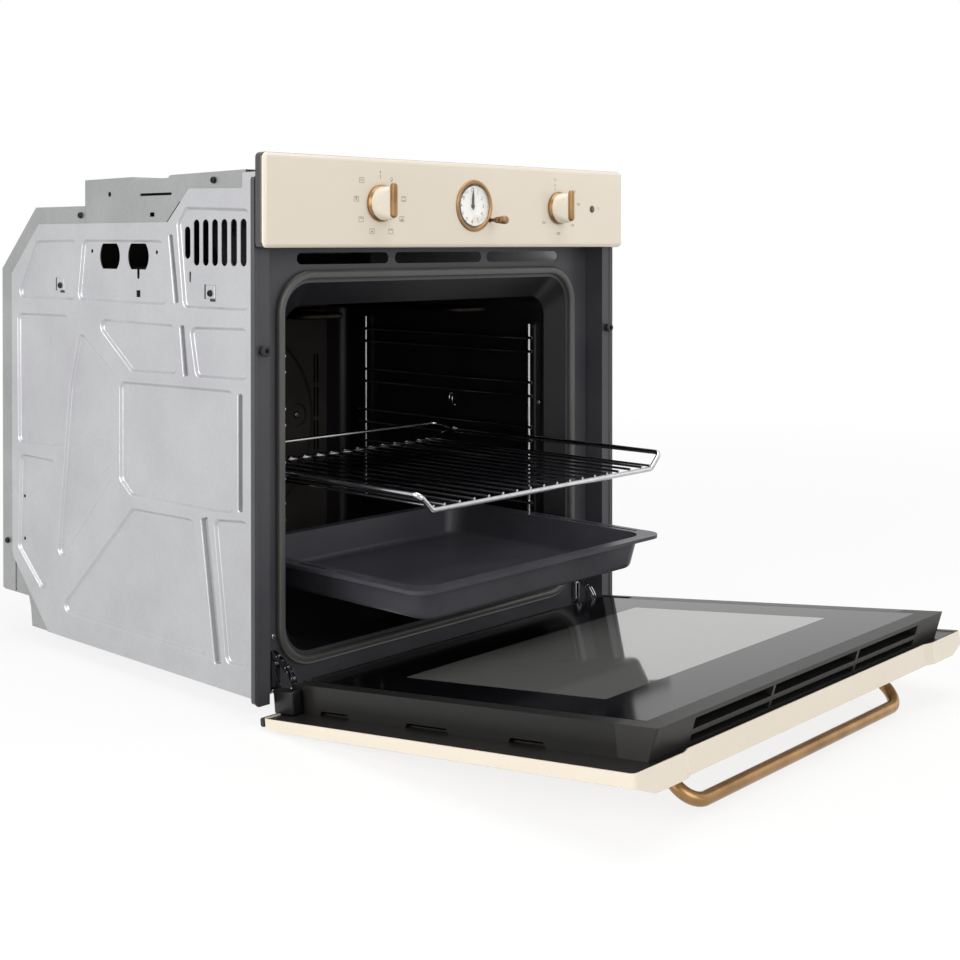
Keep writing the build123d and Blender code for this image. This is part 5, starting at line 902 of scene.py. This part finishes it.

# %% [markdown]
# ## Screws on the side panels
# The case's screws are black. Two on each side panel stand on a tab that is cut free along two
# edges and pressed out a little, and the others go straight through the sheet. The cuts are thin
# black bars, painted shade for the dark gap along each cut.

# %% Screws on the side panels
TAB = 17.0
TAB_RISE = 1.0
TAB_PLACES = ((409, 433), (103, 430))
SHEET_SCREWS = ((360, 517), (534, 101), (94, 552))
PRESSING = 3.0
case_head = screw_head(3.9, 2.2)
small_head = screw_head(3.0, 1.6)
side_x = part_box("side_panel_right")[1].x / MM
field_x = side_x - PRESSING
for side, sign in (("left", -1), ("right", 1)):
    out = RIGHT if sign > 0 else LEFT
    tabs, slit_shades, heads = bmesh.new(), bmesh.new(), []
    for y, z in TAB_PLACES:
        base = facing((sign * field_x, y, z), out)
        bar(tabs, base, 0, 0, TAB, TAB - 2, thick=TAB_RISE)
        heads.append(((sign * (field_x + TAB_RISE), y, z - 1.5), out))
        # Painted shade: thin black bars on the sheet stand for the dark gaps where the tab is cut free
        bar(slit_shades, base, sign * (TAB / 2 + 1.6), 0, 3.4, TAB - 1, thick=INK)
        bar(slit_shades, base, -sign * 3.5, -TAB / 2 - 0.6, TAB - 7, 3.0, thick=INK)
    middle_x = (field_x + TAB_RISE / 2) * MM
    rims = [edge for edge in tabs.edges if min(abs(vert.co.x) for vert in edge.verts) > middle_x]
    bmesh.ops.bevel(
        tabs, geom=rims, offset=0.8 * MM, segments=3, affect="EDGES", profile=0.5, material=-1
    )
    heads += [((sign * side_x, y, z), out) for y, z in SHEET_SCREWS]
    finish_piece("screw_tabs_" + side, "case", ZINC, tabs)
    finish_piece("tab_slit_shade_" + side, "case", BLACK_PLASTIC, slit_shades)
    screws("case_screws_" + side, "case", SCREW_BLACK, case_head, heads)
print(2 * len(TAB_PLACES), "tabs and", 2 * (len(TAB_PLACES) + len(SHEET_SCREWS)), "screws")

# %% [markdown]
# ## Screws in front, inside and behind
# Bright screws hold the hinge plates and the fan cover, and black ones the rear cover, where
# they are let in so that they hardly stand out of the case.

# %% Screws in front, inside and behind
RECESS_Y = 27.4
CUP_Y = 437
LET_IN = 1.4
plate_spots = [((sign * 251, RECESS_Y, z), FRONT) for sign in (-1, 1) for z in (61, 2.4)]
screws("hinge_plate_screws", "case", CHROME, small_head, plate_spots)
cup_spots = [((sign * 116, CUP_Y, 235.5), FRONT) for sign in (-1, 1)]
screws("fan_cover_screws", "case", PLAIN_STEEL, case_head, cup_spots)
rear_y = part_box("rear_cover")[1].y / MM
rear_spots = [((x, rear_y - LET_IN, z), BACK) for x in (-262, 262) for z in (62, 236, 410)]
screws("rear_cover_screws", "case", SCREW_BLACK, case_head, rear_spots)
print(len(plate_spots) + len(cup_spots) + len(rear_spots), "more screws")

# %% [markdown]
# ## Door end caps and hinge claws
# A black cap closes each end of the door's lower rail. Beside each hinge arm stand two flat
# steel claws held together by rivets, and each claw is one outline extruded by its thickness.

# %% Door end caps and hinge claws
CAP_SIZE = (14, 31, 25)
CAP_PLACE = (269.2, -20, 5)
CAP_TILT = math.radians(-6.85)
CLAW = [(27, 46), (27, 39), (16, 35.5), (7.5, 28.5), (0, 25), (-4.5, 19), (-7.5, 15), (-9.4, 16.5)]
CLAW += [(-8.8, 21.5), (-6, 26), (-2, 31), (6, 34.8), (15, 41)]
CLAW_SHEET = 1.1
RIVETS = [(6.5, 31.3, 2.0), (-4.6, 21.8, 1.8), (2.6, 27.6, 1.2), (21, 41, 1.6)]
RIVET_LENGTH = 6.6


def plate(shape, x, outline, thick):
    """Flat plate across X, from an outline of depths and heights in mm."""
    near = x - thick / 2
    face = shape.faces.new([shape.verts.new(Vector((near, y, z)) * MM) for y, z in outline])
    grown = bmesh.ops.extrude_face_region(shape, geom=[face])["geom"]
    far = [part for part in grown if isinstance(part, bmesh.types.BMVert)]
    bmesh.ops.translate(shape, verts=far, vec=(thick * MM, 0, 0))


for side, sign in (("left", -1), ("right", 1)):
    x, y, z = CAP_PLACE
    turned_down = Matrix.Rotation(CAP_TILT, 4, "X") @ Matrix.Diagonal((*(Vector(CAP_SIZE) * MM), 1))
    place = Matrix.Translation(Vector((sign * x, y, z)) * MM) @ turned_down
    shape = bmesh.new()
    bmesh.ops.create_cube(shape, size=1, matrix=place)
    bmesh.ops.bevel(
        shape, geom=shape.edges[:], offset=2.4 * MM, segments=4, affect="EDGES", profile=0.5, material=-1
    )
    finish_piece("door_end_cap_" + side, "door", CAP_NYLON, shape, smooth=True)

for side, sign in (("left", -1), ("right", 1)):
    shape = bmesh.new()
    for x in (248.4, 252.6):
        plate(shape, sign * x, CLAW, CLAW_SHEET)
    for y, z, radius in RIVETS:
        size = radius * MM
        bmesh.ops.create_cone(
            shape, cap_ends=True, segments=24, radius1=size, radius2=size, depth=RIVET_LENGTH * MM,
            matrix=facing((sign * 250.5, y, z), RIGHT),
        )
    finish_piece("hinge_claw_" + side, "case", CHROME, shape)
print("claws with", len(RIVETS), "rivets")

# %% [markdown]
# ## Rack studs and clips
# Each wire rack hangs on a stud at the front of the cavity's wall, and a bent spring wire holds
# it in the middle.

# %% Rack studs and clips
CLIP_X = 213.8
CLIP_WIRE = 1.15
CLIP_BENDS = [(212, 258.5), (217, 258.5), (218, 274), (222.5, 275.5), (224, 258.5)]
STUD_PLACE = (219.0, 61, 272)
for side, sign in (("left", -1), ("right", 1)):
    x, y, z = STUD_PLACE
    inward = LEFT if sign > 0 else RIGHT
    stud_spot = [((sign * x, y, z), inward)]
    screws("wall_stud_" + side, "case", PLAIN_STEEL, small_head, stud_spot)
    clip = bmesh.new()
    wire(clip, [(sign * CLIP_X, y, z) for y, z in CLIP_BENDS], CLIP_WIRE)
    finish_piece("rack_clip_" + side, "case", CHROME, clip, smooth=True)

# %% [markdown]
# ## Floor and light
# A studio would stand the oven on white paper. The floor here shows the camera mostly its own
# white and only a share of the light that falls on it, so the paper stays white and still
# carries a soft shadow. Steel and glass mirror the same white. Far from the oven the paper turns
# fully white, so that it meets the white room without a line. The lamps are large and soft.


# %% Floor and light
def backdrop_ray(tree):
    """1 for the rays that should find the plain white background, and 0 for the rest."""
    rays = add_node(tree, "ShaderNodeLightPath").outputs
    seen_by = {0: rays["Is Camera Ray"], 1: rays["Is Glossy Ray"]}
    seen = add_node(tree, "ShaderNodeMath", seen_by, operation="MAXIMUM")
    both = {0: seen.outputs[0], 1: rays["Is Transmission Ray"]}
    return add_node(tree, "ShaderNodeMath", both, operation="MAXIMUM").outputs[0]


def paper():
    sockets = {"Roughness": 0.9, "Base_Color": linear("#f4f4f2")}
    material, tree, shader, place = start_material("studio_paper", **sockets)
    away = add_node(tree, "ShaderNodeVectorMath", {0: place}, operation="LENGTH").outputs["Value"]
    own = spread(tree, away, 0.9, 2.6, 0.82, 1.0)
    share = add_node(tree, "ShaderNodeMath", {0: backdrop_ray(tree), 1: own}, operation="MULTIPLY")
    white = add_node(tree, "ShaderNodeEmission", {"Color": (1, 1, 1, 1), "Strength": 1.0})
    both = add_node(tree, "ShaderNodeMixShader", {"Fac": share.outputs[0]})
    tree.links.new(shader.outputs[0], both.inputs[1])
    tree.links.new(white.outputs[0], both.inputs[2])
    tree.links.new(both.outputs[0], tree.nodes["Material Output"].inputs["Surface"])
    return material


FLOOR_HALF = 6.0
floor_mesh = bmesh.new()
bmesh.ops.create_grid(floor_mesh, x_segments=1, y_segments=1, size=FLOOR_HALF)
bmesh.ops.translate(floor_mesh, verts=floor_mesh.verts, vec=(0, 0, solid_low.z - 1 * MM))
floor_data = bpy.data.meshes.new("floor")
floor_mesh.to_mesh(floor_data)
floor_mesh.free()
floor = bpy.data.objects.new("floor", floor_data)
floor_data.materials.append(paper())
bpy.context.scene.collection.objects.link(floor)

world = bpy.data.worlds.new("studio")
bpy.context.scene.world = world
world.use_nodes = True
sky = world.node_tree
strength = spread(sky, backdrop_ray(sky), 0.0, 1.0, 0.36, 1.0)
backdrop = sky.nodes["Background"]
backdrop.inputs["Color"].default_value = (1, 1, 1, 1)
sky.links.new(strength, backdrop.inputs["Strength"])


def soft_lamp(name, place, target, width, height, watts):
    """Area lamp that faces a point."""
    data = bpy.data.lights.new(name, "AREA")
    data.shape = "RECTANGLE"
    data.size = width
    data.size_y = height
    data.energy = watts
    lamp = bpy.data.objects.new(name, data)
    lamp.location = place
    lamp.rotation_euler = (Vector(target) - Vector(place)).to_track_quat("-Z", "Y").to_euler()
    bpy.context.scene.collection.objects.link(lamp)
    return lamp


MIDDLE = (0.0, 0.0, 0.25)
soft_lamp("left_lamp", (-3.2, 0.6, 1.0), MIDDLE, 2.4, 2.4, 76)
soft_lamp("front_lamp", (-0.6, -3.6, 1.5), MIDDLE, 2.6, 1.8, 44)
soft_lamp("top_lamp", (0.2, -0.4, 3.0), MIDDLE, 2.6, 2.6, 52)
soft_lamp("right_lamp", (2.8, -1.6, 1.2), MIDDLE, 1.6, 2.2, 7)
bpy.context.scene.view_settings.view_transform = "Standard"
print("lamps set")
